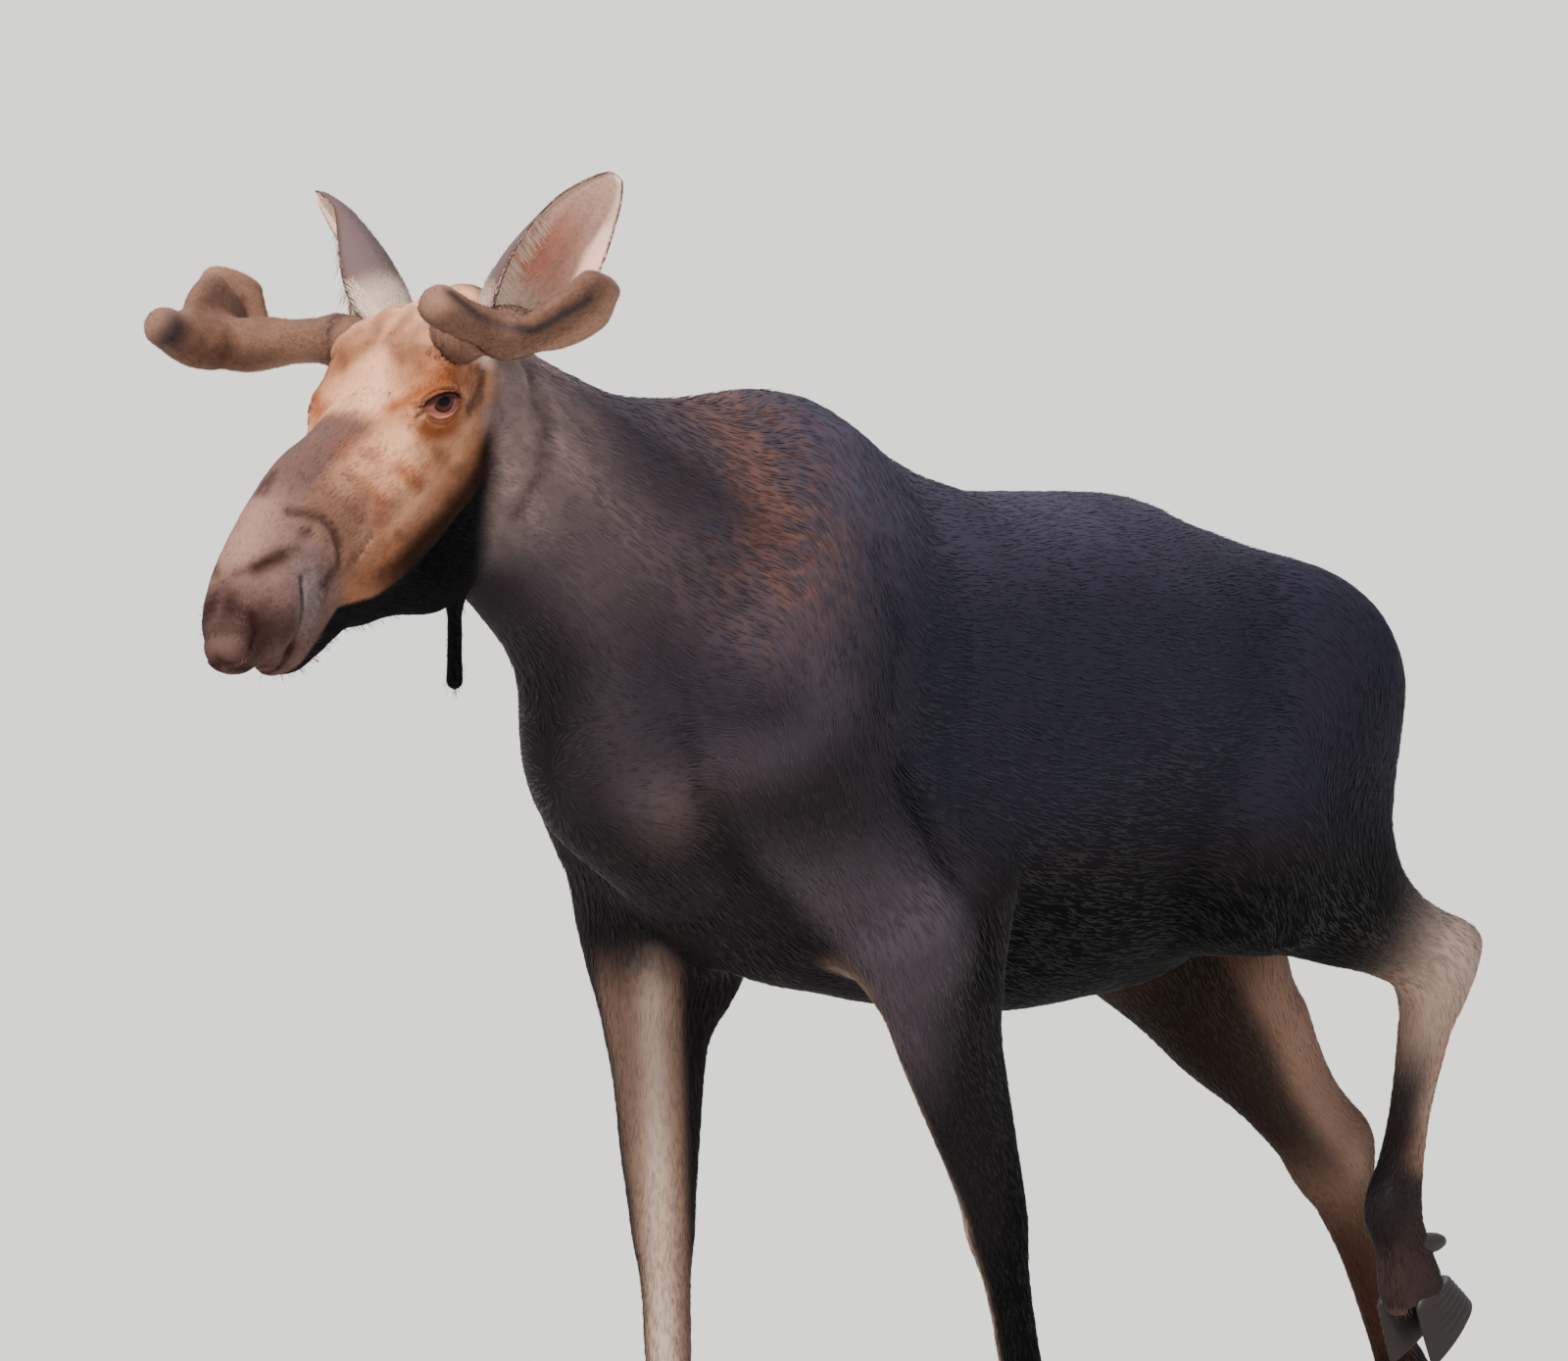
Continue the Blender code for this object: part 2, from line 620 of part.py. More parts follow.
# Where the front lobe is parted from the rest, and how far the cut reaches.
FORK = {"left": (0.261, -0.032, 0.107), "right": (0.264, -0.034, 0.125)}
FORK_REACH = {"left": 0.05, "right": 0.075}
# The web of skin and bone that fills the right palm between its lobes.
WEB = [(0.262, -0.020, 0.126, 0.040, 0.017, 0.017),
       (0.290, -0.075, 0.106, 0.046, 0.018, 0.018),
       (0.322, -0.125, 0.078, 0.046, 0.019, 0.019)]
REAR_PALM = {
    "left": [(0.230, -0.080, 0.046, 0.034, 0.024, 0.026),
             (0.292, -0.080, 0.036, 0.060, 0.023, 0.026),
             (0.346, -0.112, 0.036, 0.070, 0.022, 0.023),
             (0.370, -0.148, 0.046, 0.054, 0.020, 0.020)],
    "right": [(0.230, -0.080, 0.046, 0.034, 0.024, 0.026),
              (0.290, -0.080, 0.036, 0.060, 0.023, 0.027),
              (0.334, -0.116, 0.046, 0.072, 0.022, 0.022),
              (0.350, -0.172, 0.062, 0.048, 0.021, 0.021)],
}


def antler(side, sign):
    """An antler in velvet: a beam that ends in a palm drawn out to the front and rear."""
    beam = head_form(mirrored([
        (0.085, -0.092, 0.012, 0.032, 0.032, 0.032),
        (0.120, -0.096, 0.020, 0.034, 0.034, 0.034),
        (0.185, -0.087, 0.033, 0.033, 0.031, 0.033),
        (0.245, -0.074, 0.045, 0.036, 0.028, 0.033)], sign), blend=0.04)
    burr = head_form(mirrored([
        (0.108, -0.094, 0.018, 0.037, 0.037, 0.037),
        (0.120, -0.096, 0.020, 0.037, 0.037, 0.037)], sign), blend=0.015)
    front = head_form(mirrored(FRONT_PALM[side], sign), blend=0.04)
    rear = head_form(mirrored(REAR_PALM[side], sign), blend=0.03, above=(-0.66 * sign, 0, 0.75))
    forms = [beam, burr, front, rear]
    if side == "right":
        thin = -0.88 * HEAD_ACROSS + 0.48 * HEAD_FORWARD
        forms.append(head_form(mirrored(WEB, sign), blend=0.03, above=thin))
    return melt(f"antler_{side}_beam", forms, 0.009, 430)


# ---------------------------------------------------------------- feet
def foot_frame(joints):
    """Where a foot stands: its middle on the ground and its turn about X."""
    coronet = Vector(joints["coronet"])
    if coronet.z < 0.2:
        return Matrix.Translation((coronet.x, coronet.y, 0))
    pastern = coronet - Vector(joints["fetlock"])
    turn = math.atan2(pastern.y, -pastern.z) + math.radians(24)
    rotation = Matrix.Rotation(turn, 4, "X")
    return Matrix.Translation(coronet) @ rotation @ Matrix.Translation((0, 0, -0.092))


CORONET_SLOPE = math.radians(17)


def coronet_height(y):
    """Height of the top of the hoof: high at the toe and low at the heel."""
    return HOOF_HEIGHT - math.tan(CORONET_SLOPE) * y


def hoof(name, frame, side):
    """One of the two hooves of a foot: a long wedge with a flat sole and a pointed toe."""
    rings = []
    points = 12
    for level in (0.0, 0.35, 1.0):
        toe = HOOF_TOE * (1 - level) + 0.046 * level
        heel = HOOF_HEEL * (1 - 0.12 * level)
        width = HOOF_HALF_WIDTH * (1 - 0.10 * level)
        ring = []
        for k in range(points):
            angle = 2 * math.pi * k / points
            along = math.cos(angle)
            y = -toe * along if along > 0 else -heel * along
            narrow = 1 - 0.45 * max(along, 0) ** 2
            x = side * (CLEFT / 2 + width + 0.010 * max(along, 0)) + width * narrow * math.sin(angle)
            ring.append(frame @ Vector((x, y, level * coronet_height(y))))
        rings.append(ring)
    obj = make_object(name, *ring_solid(rings))
    face_outward(obj)
    tidy_mesh(obj)
    return obj


def dewclaw(name, frame, side):
    """A small blunt claw low on the back of the pastern."""
    rings = []
    points = 6
    top = Vector((side * 0.026, 0.020, 0.150))
    end = Vector((side * 0.034, 0.074, 0.098))
    for share, size in ((0.0, 0.016), (0.6, 0.016), (1.0, 0.006)):
        centre = top.lerp(end, share)
        ring = []
        for k in range(points):
            angle = 2 * math.pi * k / points
            flat = 0.7 * size * math.sin(angle)
            ring.append(frame @ (centre + Vector((size * math.cos(angle), flat, flat))))
        rings.append(ring)
    obj = make_object(name, *ring_solid(rings))
    face_outward(obj)
    tidy_mesh(obj)
    return obj


def hoof_well(frame):
    """A block that takes away the flesh below the coronet of a foot."""
    depth = 0.16
    tilt = Matrix.Rotation(-CORONET_SLOPE, 4, "X")
    block = slab((0, 0, 0), (0, 0, 1), 0.10, 0.13, depth)
    top = Matrix.Translation((0, 0, HOOF_HEIGHT + GAP))
    place = frame @ top @ tilt @ Matrix.Translation((0, 0, -depth / 2))
    block.data.transform(place)
    return block


# ---------------------------------------------------------------- bell and tail
def bell():
    """The rope of skin that hangs from the throat."""
    throat = (0, -0.612, 1.52)
    length = 0.195
    form = Form([(*throat, 0.022, 0.022, 0.022),
                 (0, throat[1] + 0.001, throat[2] - 0.4 * length, 0.0125, 0.0125, 0.0125),
                 (0, throat[1] - 0.001, throat[2] - 0.8 * length, 0.0125, 0.0125, 0.0125),
                 (0, throat[1], throat[2] - length, 0.0135, 0.0135, 0.0135)], above=FRONT, blend=0.02)
    return melt("bell", [form], 0.007, 160)


def tail():
    """A short stub of a tail that lies against the rump."""
    form = Form([(0, 1.10, 1.390, 0.030, 0.025, 0.025),
                 (0, 1.175, 1.345, 0.030, 0.020, 0.020),
                 (0, 1.212, 1.275, 0.024, 0.015, 0.015)], above=(0, 0, 1), blend=0.02)
    return melt("tail", [form], 0.010, 160)


# ---------------------------------------------------------------- materials
MATERIALS = {
    "coat_black": ((0.030, 0.026, 0.028, 1), 0.75),
    "coat_brown": ((0.190, 0.110, 0.070, 1), 0.80),
    "coat_shank": ((0.130, 0.085, 0.065, 1), 0.80),
    "velvet": ((0.150, 0.090, 0.060, 1), 0.85),
    "ear_hair": ((0.220, 0.150, 0.110, 1), 0.85),
    "horn": ((0.035, 0.028, 0.025, 1), 0.45),
    "eye": ((0.020, 0.010, 0.007, 1), 0.08),
}


def material(name):
    """A Principled material of the table above."""
    made = bpy.data.materials.get(name)
    if made is None:
        colour, roughness = MATERIALS[name]
        made = bpy.data.materials.new(name)
        made.use_nodes = True
        shader = made.node_tree.nodes["Principled BSDF"]
        shader.inputs["Base Color"].default_value = colour
        shader.inputs["Roughness"].default_value = roughness
    return made


def finish(obj, name):
    """Give an object its one material and smooth shading."""
    obj.data.materials.clear()
    obj.data.materials.append(material(name))
    obj.data.shade_smooth()
    obj.data.set_sharp_from_angle(angle=math.radians(50))


# ---------------------------------------------------------------- assembly
def eye_ball(name, sign, radius):
    """A sphere at an eye's place."""
    mesh = bmesh.new()
    bmesh.ops.create_icosphere(mesh, subdivisions=2, radius=radius)
    data = bpy.data.meshes.new(name)
    mesh.to_mesh(data)
    mesh.free()
    data.transform(Matrix.Translation(at_head(sign * EYE_SPREAD, 0, 0)))
    obj = bpy.data.objects.new(name, data)
    bpy.context.scene.collection.objects.link(obj)
    return obj


def all_forms():
    """Every form of the flesh."""
    forms = trunk_forms() + [neck_form()]
    for side, _ in SIDES:
        forms += foreleg_forms(FORELEG_JOINTS[side])
        forms += hindleg_forms(HINDLEG_JOINTS[side])
    return forms + head_forms()


def along(start, end, share):
    """A point part of the way from start to end, and the direction between them."""
    start = Vector(start)
    end = Vector(end)
    return start.lerp(end, share), end - start


def part_legs(flesh):
    """Cut the legs off the trunk and into their lengths."""
    for side, _ in SIDES:
        joints = FORELEG_JOINTS[side]
        label = f"foreleg_{side}"
        centre, _ = along(joints["elbow"], joints["knee"], 0.36)
        leg = part_off(flesh, f"{label}_forearm", centre, (0, 0, -1), 0.10, 0.17)
        centre, normal = along(joints["knee"], joints["fetlock"], 0.10)
        cannon = part_off(leg, f"{label}_cannon", centre, normal, 0.09, 0.10)
        centre, normal = along(joints["knee"], joints["fetlock"], 0.88)
        part_off(cannon, f"{label}_pastern", centre, normal, 0.08, 0.09)
        joints = HINDLEG_JOINTS[side]
        label = f"hindleg_{side}"
        centre, bone_line = along(joints["stifle"], joints["hock"], THIGH_CUT[side])
        shank_start, shank = along(joints["hock"], joints["fetlock"], 0.16)
        normal = bone_line.normalized() + 0.5 * shank.normalized()
        leg = part_off(flesh, f"{label}_gaskin", centre, normal, 0.12, 0.17)
        cannon = part_off(leg, f"{label}_cannon", shank_start, shank, 0.09, 0.10)
        centre, normal = along(joints["hock"], joints["fetlock"], 0.88)
        part_off(cannon, f"{label}_pastern", centre, normal, 0.08, 0.09)


def build():
    """Make the whole animal."""
    flesh = melt("trunk", all_forms(), FLESH_VOXEL, FLESH_FACES)
    base = swollen(flesh, GAP)
    frames = {}
    for side, _ in SIDES:
        frames[f"foreleg_{side}"] = foot_frame(FORELEG_JOINTS[side])
        frames[f"hindleg_{side}"] = foot_frame(HINDLEG_JOINTS[side])
    for label, frame in frames.items():
        block = hoof_well(frame)
        boolean(flesh, block)
        bpy.data.objects.remove(block)
        for place, side in (("outer", 1), ("inner", -1)):
            outward = side if label.endswith("left") else -side
            finish(hoof(f"{label}_hoof_{place}", frame, outward), "horn")
            claw = dewclaw(f"{label}_dewclaw_{place}", frame, outward)
            seat(claw, base)
            finish(claw, "horn")
    for side, sign in SIDES:
        finish(eye_ball(f"eye_{side}", sign, EYE_RADIUS), "eye")
        socket = eye_ball("socket", sign, EYE_RADIUS + GAP)
        boolean(flesh, socket)
        bpy.data.objects.remove(socket)
        horn = antler(side, sign)
        seat(horn, base)
        leaf = ear(side, sign)
        seat(leaf, base)
        beside = swollen(horn, GAP)
        seat(leaf, beside)
        bpy.data.objects.remove(beside)
        finish(leaf, "ear_hair")
        palm_start = at_head(sign * 0.206, -0.082, 0.038)
        rear = part_off(horn, f"antler_{side}_rear_palm", palm_start, HEAD_ACROSS * sign, 0.10, 0.10)
        fork = at_head(sign * FORK[side][0], *FORK[side][1:])
        front = part_off(rear, f"antler_{side}_front_palm", fork, FRONT, 0.06, FORK_REACH[side])
        for piece in (horn, front, rear):
            finish(piece, "velvet")
    for hanging in (bell(), tail()):
        seat(hanging, base)
        finish(hanging, "coat_black")
    bpy.data.objects.remove(base)
    part_legs(flesh)
    neck = part_off(flesh, "neck", (0, -0.31, 1.51), (0, -0.86, 0.51), 0.30, 0.36)
    head = part_off(neck, "head", at_head(0, -0.125, -0.16), HEAD_FORWARD + 0.9 * HEAD_UP, 0.26, 0.36)
    for obj in list(bpy.context.scene.collection.objects):
        if not obj.data.materials:
            shank = "cannon" in obj.name or "pastern" in obj.name or "gaskin" in obj.name
            finish(obj, "coat_shank" if shank else "coat_black")
    finish(head, "coat_brown")


def ground_and_centre():
    """Bring the lowest point to the floor and the middle of the animal over the origin."""
    objects = list(bpy.context.scene.collection.objects)
    points = np.array([v.co[:] for obj in objects for v in obj.data.vertices])
    low = points.min(axis=0)
    high = points.max(axis=0)
    shift = Vector((-(low[0] + high[0]) / 2, -(low[1] + high[1]) / 2, -low[2]))
    for obj in objects:
        obj.data.transform(Matrix.Translation(shift))


for leftover in list(bpy.data.objects):
    bpy.data.objects.remove(leftover)
build()
ground_and_centre()
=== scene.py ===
"""A young bull moose in velvet: skin, coat, eyes, ears, antlers and hooves.

The shapes are made in the frame of the solids' own design, whose Y zero lies under
the withers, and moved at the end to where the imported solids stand. Metres, +Z up;
the animal faces -Y and its left side is +X. Tables wrapped in mm() are millimetres.
"""
import json
import math
from contextlib import contextmanager

import bmesh
import bpy
import numpy as np
from mathutils import Matrix, Vector

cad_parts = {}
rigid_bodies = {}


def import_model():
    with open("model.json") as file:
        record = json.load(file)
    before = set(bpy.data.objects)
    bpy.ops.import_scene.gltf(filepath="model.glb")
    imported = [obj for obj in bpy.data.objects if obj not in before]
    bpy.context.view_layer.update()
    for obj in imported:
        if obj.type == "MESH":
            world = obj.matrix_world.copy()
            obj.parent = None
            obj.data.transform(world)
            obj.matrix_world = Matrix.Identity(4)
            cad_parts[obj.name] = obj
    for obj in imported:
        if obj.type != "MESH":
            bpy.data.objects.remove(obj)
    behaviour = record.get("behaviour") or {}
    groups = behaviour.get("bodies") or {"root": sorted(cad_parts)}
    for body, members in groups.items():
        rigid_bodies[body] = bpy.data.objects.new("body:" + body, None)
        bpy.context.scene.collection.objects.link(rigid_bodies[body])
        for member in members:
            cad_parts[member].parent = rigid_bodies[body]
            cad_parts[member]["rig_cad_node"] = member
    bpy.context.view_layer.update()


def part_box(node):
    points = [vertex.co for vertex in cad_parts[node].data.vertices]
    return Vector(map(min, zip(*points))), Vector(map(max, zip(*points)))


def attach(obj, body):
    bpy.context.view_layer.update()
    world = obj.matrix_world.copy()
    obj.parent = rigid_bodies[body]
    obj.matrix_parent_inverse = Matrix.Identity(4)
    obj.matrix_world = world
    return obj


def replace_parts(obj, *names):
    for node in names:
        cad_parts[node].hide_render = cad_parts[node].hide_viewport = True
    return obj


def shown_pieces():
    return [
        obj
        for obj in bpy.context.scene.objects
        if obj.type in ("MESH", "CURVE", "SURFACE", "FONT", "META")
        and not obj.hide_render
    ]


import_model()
rng = np.random.default_rng(11)

# ---- driving sizes
WITHERS = 1.72
EYES = np.array((0.0, -0.765, 1.705))
HEAD_PITCH = math.radians(48)
HEAD_ROLL = math.radians(4.5)
EYE_RADIUS = 0.026
CORNEA = 0.0016          # how far it stands out of the eyeball
EYE_SPREAD = 0.0985      # of an eye's middle from the middle of the head
EAR_LENGTH = 0.29
EAR_ROOT = (0.08, -0.158, -0.046)
EAR_WALL = 0.0075
EAR_STEPS = 22           # points across the leaf of an ear
# Where each ear points in the head's frame, the way it opens, and half its width.
EARS = {
    "left": dict(tip=(0.28, -0.336, 0.053), opening=(0.92, -0.39, 0), half_width=0.066),
    "right": dict(tip=(-0.292, -0.33, 0.062), opening=(-0.8, -0.55, 0), half_width=0.063),
}
HOOF_HEIGHT = 0.074
HOOF_HALF_WIDTH = 0.025
HOOF_TOE = 0.088
HOOF_HEEL = 0.04
CLEFT = 0.007
TOE_SPREAD = 0.01
CORONET_SLOPE = math.radians(17)
FOOT_REACH = 0.16        # how far the skin round a foot is looked through
SKIN_IN_HOOF = 0.016     # how deep it goes on inside a hoof
SIDES = (("left", 1), ("right", -1))
FRONT = (0, -1, 0)

CURVE_STEPS = 5          # samples from one station of a form to the next
SKIN_VOXEL = 0.012
PIT_DEPTH = 0.0022       # a body vertex this far from its neighbours' middle stands in a pit
PIT_ROUNDS = 12
COAT_DEPTH = {"body": 0.0055, "leg": 0.004, "head": 0.0024}   # from the skin to the tips
TUFT_LENGTH = {"body": 0.022, "leg": 0.014, "head": 0.0075}
TUFT_WIDTH = {"body": 0.002, "leg": 0.0017, "head": 0.0011}
TUFTS_PER_M2 = {"body": 15000, "leg": 22000, "head": 85000}
VELVET_PER_M2 = 330000
EAR_HAIR_PER_M2 = 130000
ANTLER_VOXEL = 0.005
LASHES = 70
LONG_HAIR = 0.0007       # width of a lash or a whisker


# ---- forms and blends
def unit(vectors):
    """The vectors scaled to length one."""
    return vectors / np.maximum(np.linalg.norm(vectors, axis=-1, keepdims=True), 1e-9)


def mm(*places):
    """Places given in millimetres, as rows in metres."""
    return np.array(places) / 1000


def smooth_rows(rows, steps):
    """A Catmull-Rom curve through the rows of a table, with steps samples to a row."""
    rows = np.asarray(rows, float)
    padded = np.vstack([2 * rows[0] - rows[1], rows, 2 * rows[-1] - rows[-2]])
    samples = []
    for index in range(len(rows) - 1):
        a, b, c, d = padded[index:index + 4]
        for t in np.arange(steps) / steps:
            samples.append(0.5 * (2 * b + (c - a) * t + (2 * a - 5 * b + 4 * c - d) * t ** 2
                                  + (3 * b - a - 3 * c + d) * t ** 3))
    samples.append(rows[-1])
    return np.array(samples)


class Form:
    """A tapering body: oval sections strung along a smooth centre line.

    Each station is x, y, z, half width, reach above and reach below the line. The
    coat lies along the line where lie is 1, and against it where lie is -1.
    """

    def __init__(self, stations, above=(0, 0, 1), blend=0.05, lie=1):
        table = smooth_rows(stations, CURVE_STEPS)
        self.centre = table[:, :3]
        self.reach = np.maximum(table[:, 3:6], 0.004)
        self.blend = blend
        self.lie = lie
        self.tangent = unit(np.gradient(self.centre, axis=0))
        self.side = unit(np.cross(self.tangent, np.asarray(above, float)))
        self.above = np.cross(self.side, self.tangent)
        self.low = (self.centre - self.reach.max()).min(axis=0)
        self.high = (self.centre + self.reach.max()).max(axis=0)

    def locate(self, points):
        """For each point the place along the line nearest to it, counted in samples."""
        centre = self.centre
        spread = (centre ** 2).sum(1)[None, :] - 2 * points @ centre.T
        nearest = spread.argmin(axis=1)
        best_square = np.full(len(points), np.inf)
        place = np.zeros(len(points))
        for start in (nearest - 1, nearest):
            first = np.clip(start, 0, len(centre) - 2)
            along = centre[first + 1] - centre[first]
            share = ((points - centre[first]) * along).sum(1) / (along ** 2).sum(1)
            share = np.clip(share, 0, 1)
            square = ((points - centre[first] - share[:, None] * along) ** 2).sum(1)
            better = square < best_square
            best_square[better] = square[better]
            place[better] = (first + share)[better]
        return place

    def between(self, rows, place):
        """Rows of the form's table read at fractional places."""
        first = np.clip(place.astype(int), 0, len(self.centre) - 2)
        share = (place - first)[:, None]
        return rows[first] * (1 - share) + rows[first + 1] * share

    def distance(self, points, margin=0.16):
        """About how far each point is outside the form; negative inside it."""
        outside = np.maximum(np.maximum(self.low - points, points - self.high), 0)
        result = np.linalg.norm(outside, axis=1)
        near = result < margin
        if near.any():
            result[near] = self.near_distance(points[near])
        return result

    def near_distance(self, points):
        """The same for points close to the form, from the oval section nearest to each."""
        place = self.locate(points)
        offset = points - self.between(self.centre, place)
        across = (offset * self.between(self.side, place)).sum(1)
        height = (offset * self.between(self.above, place)).sum(1)
        reach = self.between(self.reach, place)
        depth = np.where(height > 0, reach[:, 1], reach[:, 2])
        length = np.sqrt((offset ** 2).sum(1))
        beyond = np.sqrt(np.maximum(length ** 2 - across ** 2 - height ** 2, 0))
        cap = np.minimum(reach[:, 0], depth)
        ratio = np.sqrt((across / reach[:, 0]) ** 2 + (height / depth) ** 2 + (beyond / cap) ** 2)
        return np.where(ratio > 1e-6, length * (1 - 1 / np.maximum(ratio, 1e-6)), -cap)

    def shell(self, sides=12):
        """Rings of a closed tube slightly inside the form, with rounded ends."""
        angles = 2 * math.pi * np.arange(sides) / sides

        def ring(index, tilt, outward):
            reach = 0.96 * self.reach[index]
            depth = np.where(np.sin(angles) > 0, reach[1], reach[2])
            forward = np.cross(self.above[index], self.side[index])
            lift = outward * math.sin(tilt) * reach.min() * forward
            return (self.centre[index] + lift
                    + math.cos(tilt) * np.outer(np.cos(angles) * reach[0], self.side[index])
                    + math.cos(tilt) * np.outer(np.sin(angles) * depth, self.above[index]))

        tilts = [math.radians(angle) for angle in (80, 55, 28)]
        rings = [ring(0, tilt, -1) for tilt in tilts]
        rings += [ring(index, 0, 0) for index in range(len(self.centre))]
        rings += [ring(-1, tilt, 1) for tilt in reversed(tilts)]
        return rings


def distance_to(forms, points):
    """Distance from the points to all forms melted together."""
    total = forms[0].distance(points)
    for form in forms[1:]:
        other = form.distance(points)
        share = np.maximum(form.blend - np.abs(total - other), 0) / form.blend
        total = np.minimum(total, other) - share ** 2 * form.blend / 4
    return total


def settle(vertices, forms, level, rounds):
    """Move vertices to where their distance to the melted forms is the level wanted."""
    probe = 0.002
    corners = np.array([(1, 1, 1), (1, -1, -1), (-1, 1, -1), (-1, -1, 1)], float)
    for _ in range(rounds):
        distance = distance_to(forms, vertices) - level
        slope = np.zeros_like(vertices)
        for corner in corners:
            slope += corner * distance_to(forms, vertices + probe * corner)[:, None]
        vertices = vertices - unit(slope) * np.clip(distance, -0.02, 0.02)[:, None]
    return vertices


# ---- mesh helpers
def place_object(name, data):
    """A new object in the scene, around a mesh, a light or a camera."""
    obj = bpy.data.objects.new(name, data)
    bpy.context.scene.collection.objects.link(obj)
    return obj


def make_object(name, vertices, faces):
    """A new object from vertices and faces."""
    mesh = bpy.data.meshes.new(name)
    mesh.from_pydata([tuple(v) for v in vertices], [], faces)
    return place_object(name, mesh)


@contextmanager
def editing(obj):
    """The object's mesh opened for changes, which are written back at the end."""
    mesh = bmesh.new()
    mesh.from_mesh(obj.data)
    yield mesh
    mesh.to_mesh(obj.data)
    mesh.free()


def ring_solid(rings):
    """Vertices and faces of a closed solid through rings of equally many points."""
    count = len(rings[0])
    vertices = [point for ring in rings for point in ring]
    faces = []
    for level in range(len(rings) - 1):
        for k in range(count):
            a = level * count + k
            b = level * count + (k + 1) % count
            faces.append((a, b, b + count, a + count))
    faces.append(tuple(reversed(range(count))))
    faces.append(tuple(range((len(rings) - 1) * count, len(rings) * count)))
    return vertices, faces


def face_outward(obj):
    """Turn the faces of a closed mesh outward."""
    with editing(obj) as mesh:
        bmesh.ops.recalc_face_normals(mesh, faces=mesh.faces)
        if mesh.calc_volume(signed=True) < 0:
            bmesh.ops.reverse_faces(mesh, faces=mesh.faces)


def read_vertices(obj, field="co"):
    """All vertices' places, or their normals, as an array."""
    values = np.empty(len(obj.data.vertices) * 3)
    obj.data.vertices.foreach_get(field, values)
    return values.reshape(-1, 3)


def write_vertices(obj, places):
    """Set all vertices' places."""
    obj.data.vertices.foreach_set("co", places.ravel())
    obj.data.update()


def raw_melt(name, forms, voxel):
    """A closed mesh of even quads around the forms, not yet settled."""
    target = bmesh.new()
    for form in forms:
        shell = make_object("shell", *ring_solid(form.shell()))
        face_outward(shell)
        target.from_mesh(shell.data)
        bpy.data.objects.remove(shell)
    mesh = bpy.data.meshes.new(name)
    target.to_mesh(mesh)
    target.free()
    obj = place_object(name, mesh)
    remesh = obj.modifiers.new("Remesh", "REMESH")
    remesh.mode = "VOXEL"
    remesh.voxel_size = voxel
    graph = bpy.context.evaluated_depsgraph_get()
    result = bpy.data.meshes.new_from_object(obj.evaluated_get(graph))
    obj.modifiers.clear()
    obj.data = result
    return obj


def refine(obj, wanted):
    """Divide in four all faces whose centres the function wanted picks."""
    with editing(obj) as mesh:
        centres = np.array([face.calc_center_median()[:] for face in mesh.faces])
        edges = {edge for face, pick in zip(mesh.faces, wanted(centres)) if pick for edge in face.edges}
        bmesh.ops.subdivide_edges(mesh, edges=list(edges), cuts=1, use_grid_fill=True)


def set_colours(obj, colours):
    """Store a colour for each vertex."""
    attribute = obj.data.color_attributes.new("coat", "FLOAT_COLOR", "POINT")
    rgba = np.ones((len(colours), 4))
    rgba[:, :3] = colours
    attribute.data.foreach_set("color", rgba.ravel())


def fade(values, start, end):
    """Zero at start, one at end, and an even S between them."""
    share = np.clip((values - start) / (end - start), 0, 1)
    return share * share * (3 - 2 * share)


def lumps(points, size, seed):
    """Smooth noise from 0 to 1, with lumps about as large as size (one or three numbers)."""
    scaled = points / size + 31.7 * seed + 1000
    cell = np.floor(scaled).astype(np.int64)
    share = scaled - cell
    share = share * share * (3 - 2 * share)
    total = np.zeros(len(points))
    for corner in np.ndindex(2, 2, 2):
        at = cell + np.array(corner)
        mixed = (at[:, 0] * 73856093) ^ (at[:, 1] * 19349663) ^ (at[:, 2] * 83492791)
        value = ((mixed & 0xFFFFFF) * 48271 % 65537) / 65536
        total += value * np.prod(np.where(np.array(corner) == 1, share, 1 - share), axis=1)
    return total


def near_line(points, line, width):
    """One on a line through a few places and falling to nothing about two widths away."""
    line = np.asarray(line, float)
    best = np.full(len(points), np.inf)
    for start, end in zip(line[:-1], line[1:]):
        along = end - start
        share = np.clip((points - start) @ along / (along @ along), 0, 1)
        best = np.minimum(best, ((points - start - share[:, None] * along) ** 2).sum(1))
    return np.exp(-best / width ** 2)


def near_spot(points, centre, reach):
    """One at a centre and falling off over a reach given for each axis."""
    scaled = (points - np.asarray(centre, float)) / np.asarray(reach, float)
    return np.exp(-(scaled ** 2).sum(1))


# ---- the head's own frame
def head_axes():
    """Head frame: across to the animal's left, forward to the nose, up from the brow."""
    forward = Vector((0, -math.cos(HEAD_PITCH), -math.sin(HEAD_PITCH)))
    up = Vector((0, -math.sin(HEAD_PITCH), math.cos(HEAD_PITCH)))
    roll = Matrix.Rotation(HEAD_ROLL, 3, forward)
    return roll @ Vector((1, 0, 0)), forward, roll @ up


HEAD_ACROSS, HEAD_FORWARD, HEAD_UP = head_axes()
HEAD_TURN = np.array([HEAD_ACROSS, HEAD_FORWARD, HEAD_UP])


def at_head(across, forward, up):
    """A point given in the head's frame."""
    return Vector(EYES) + HEAD_ACROSS * across + HEAD_FORWARD * forward + HEAD_UP * up


def in_head(points):
    """Points told as distance from the middle, forward and up in the head's frame."""
    local = (points - EYES) @ HEAD_TURN.T
    local[:, 0] = np.abs(local[:, 0])
    return local


def head_share(points):
    """Zero on the neck and body, one on the head."""
    normal = HEAD_FORWARD + 0.9 * HEAD_UP
    normal.normalize()
    return fade((points - np.array(at_head(0, -0.155, -0.16))) @ np.array(normal), -0.03, 0.05)


def by_part(points, sizes):
    """A size that goes over smoothly from the body's to the legs' and the head's."""
    head = head_share(points)
    leg = fade(points[:, 2], 0.95, 0.72) * (1 - head)
    return sizes["body"] * (1 - head - leg) + sizes["leg"] * leg + sizes["head"] * head


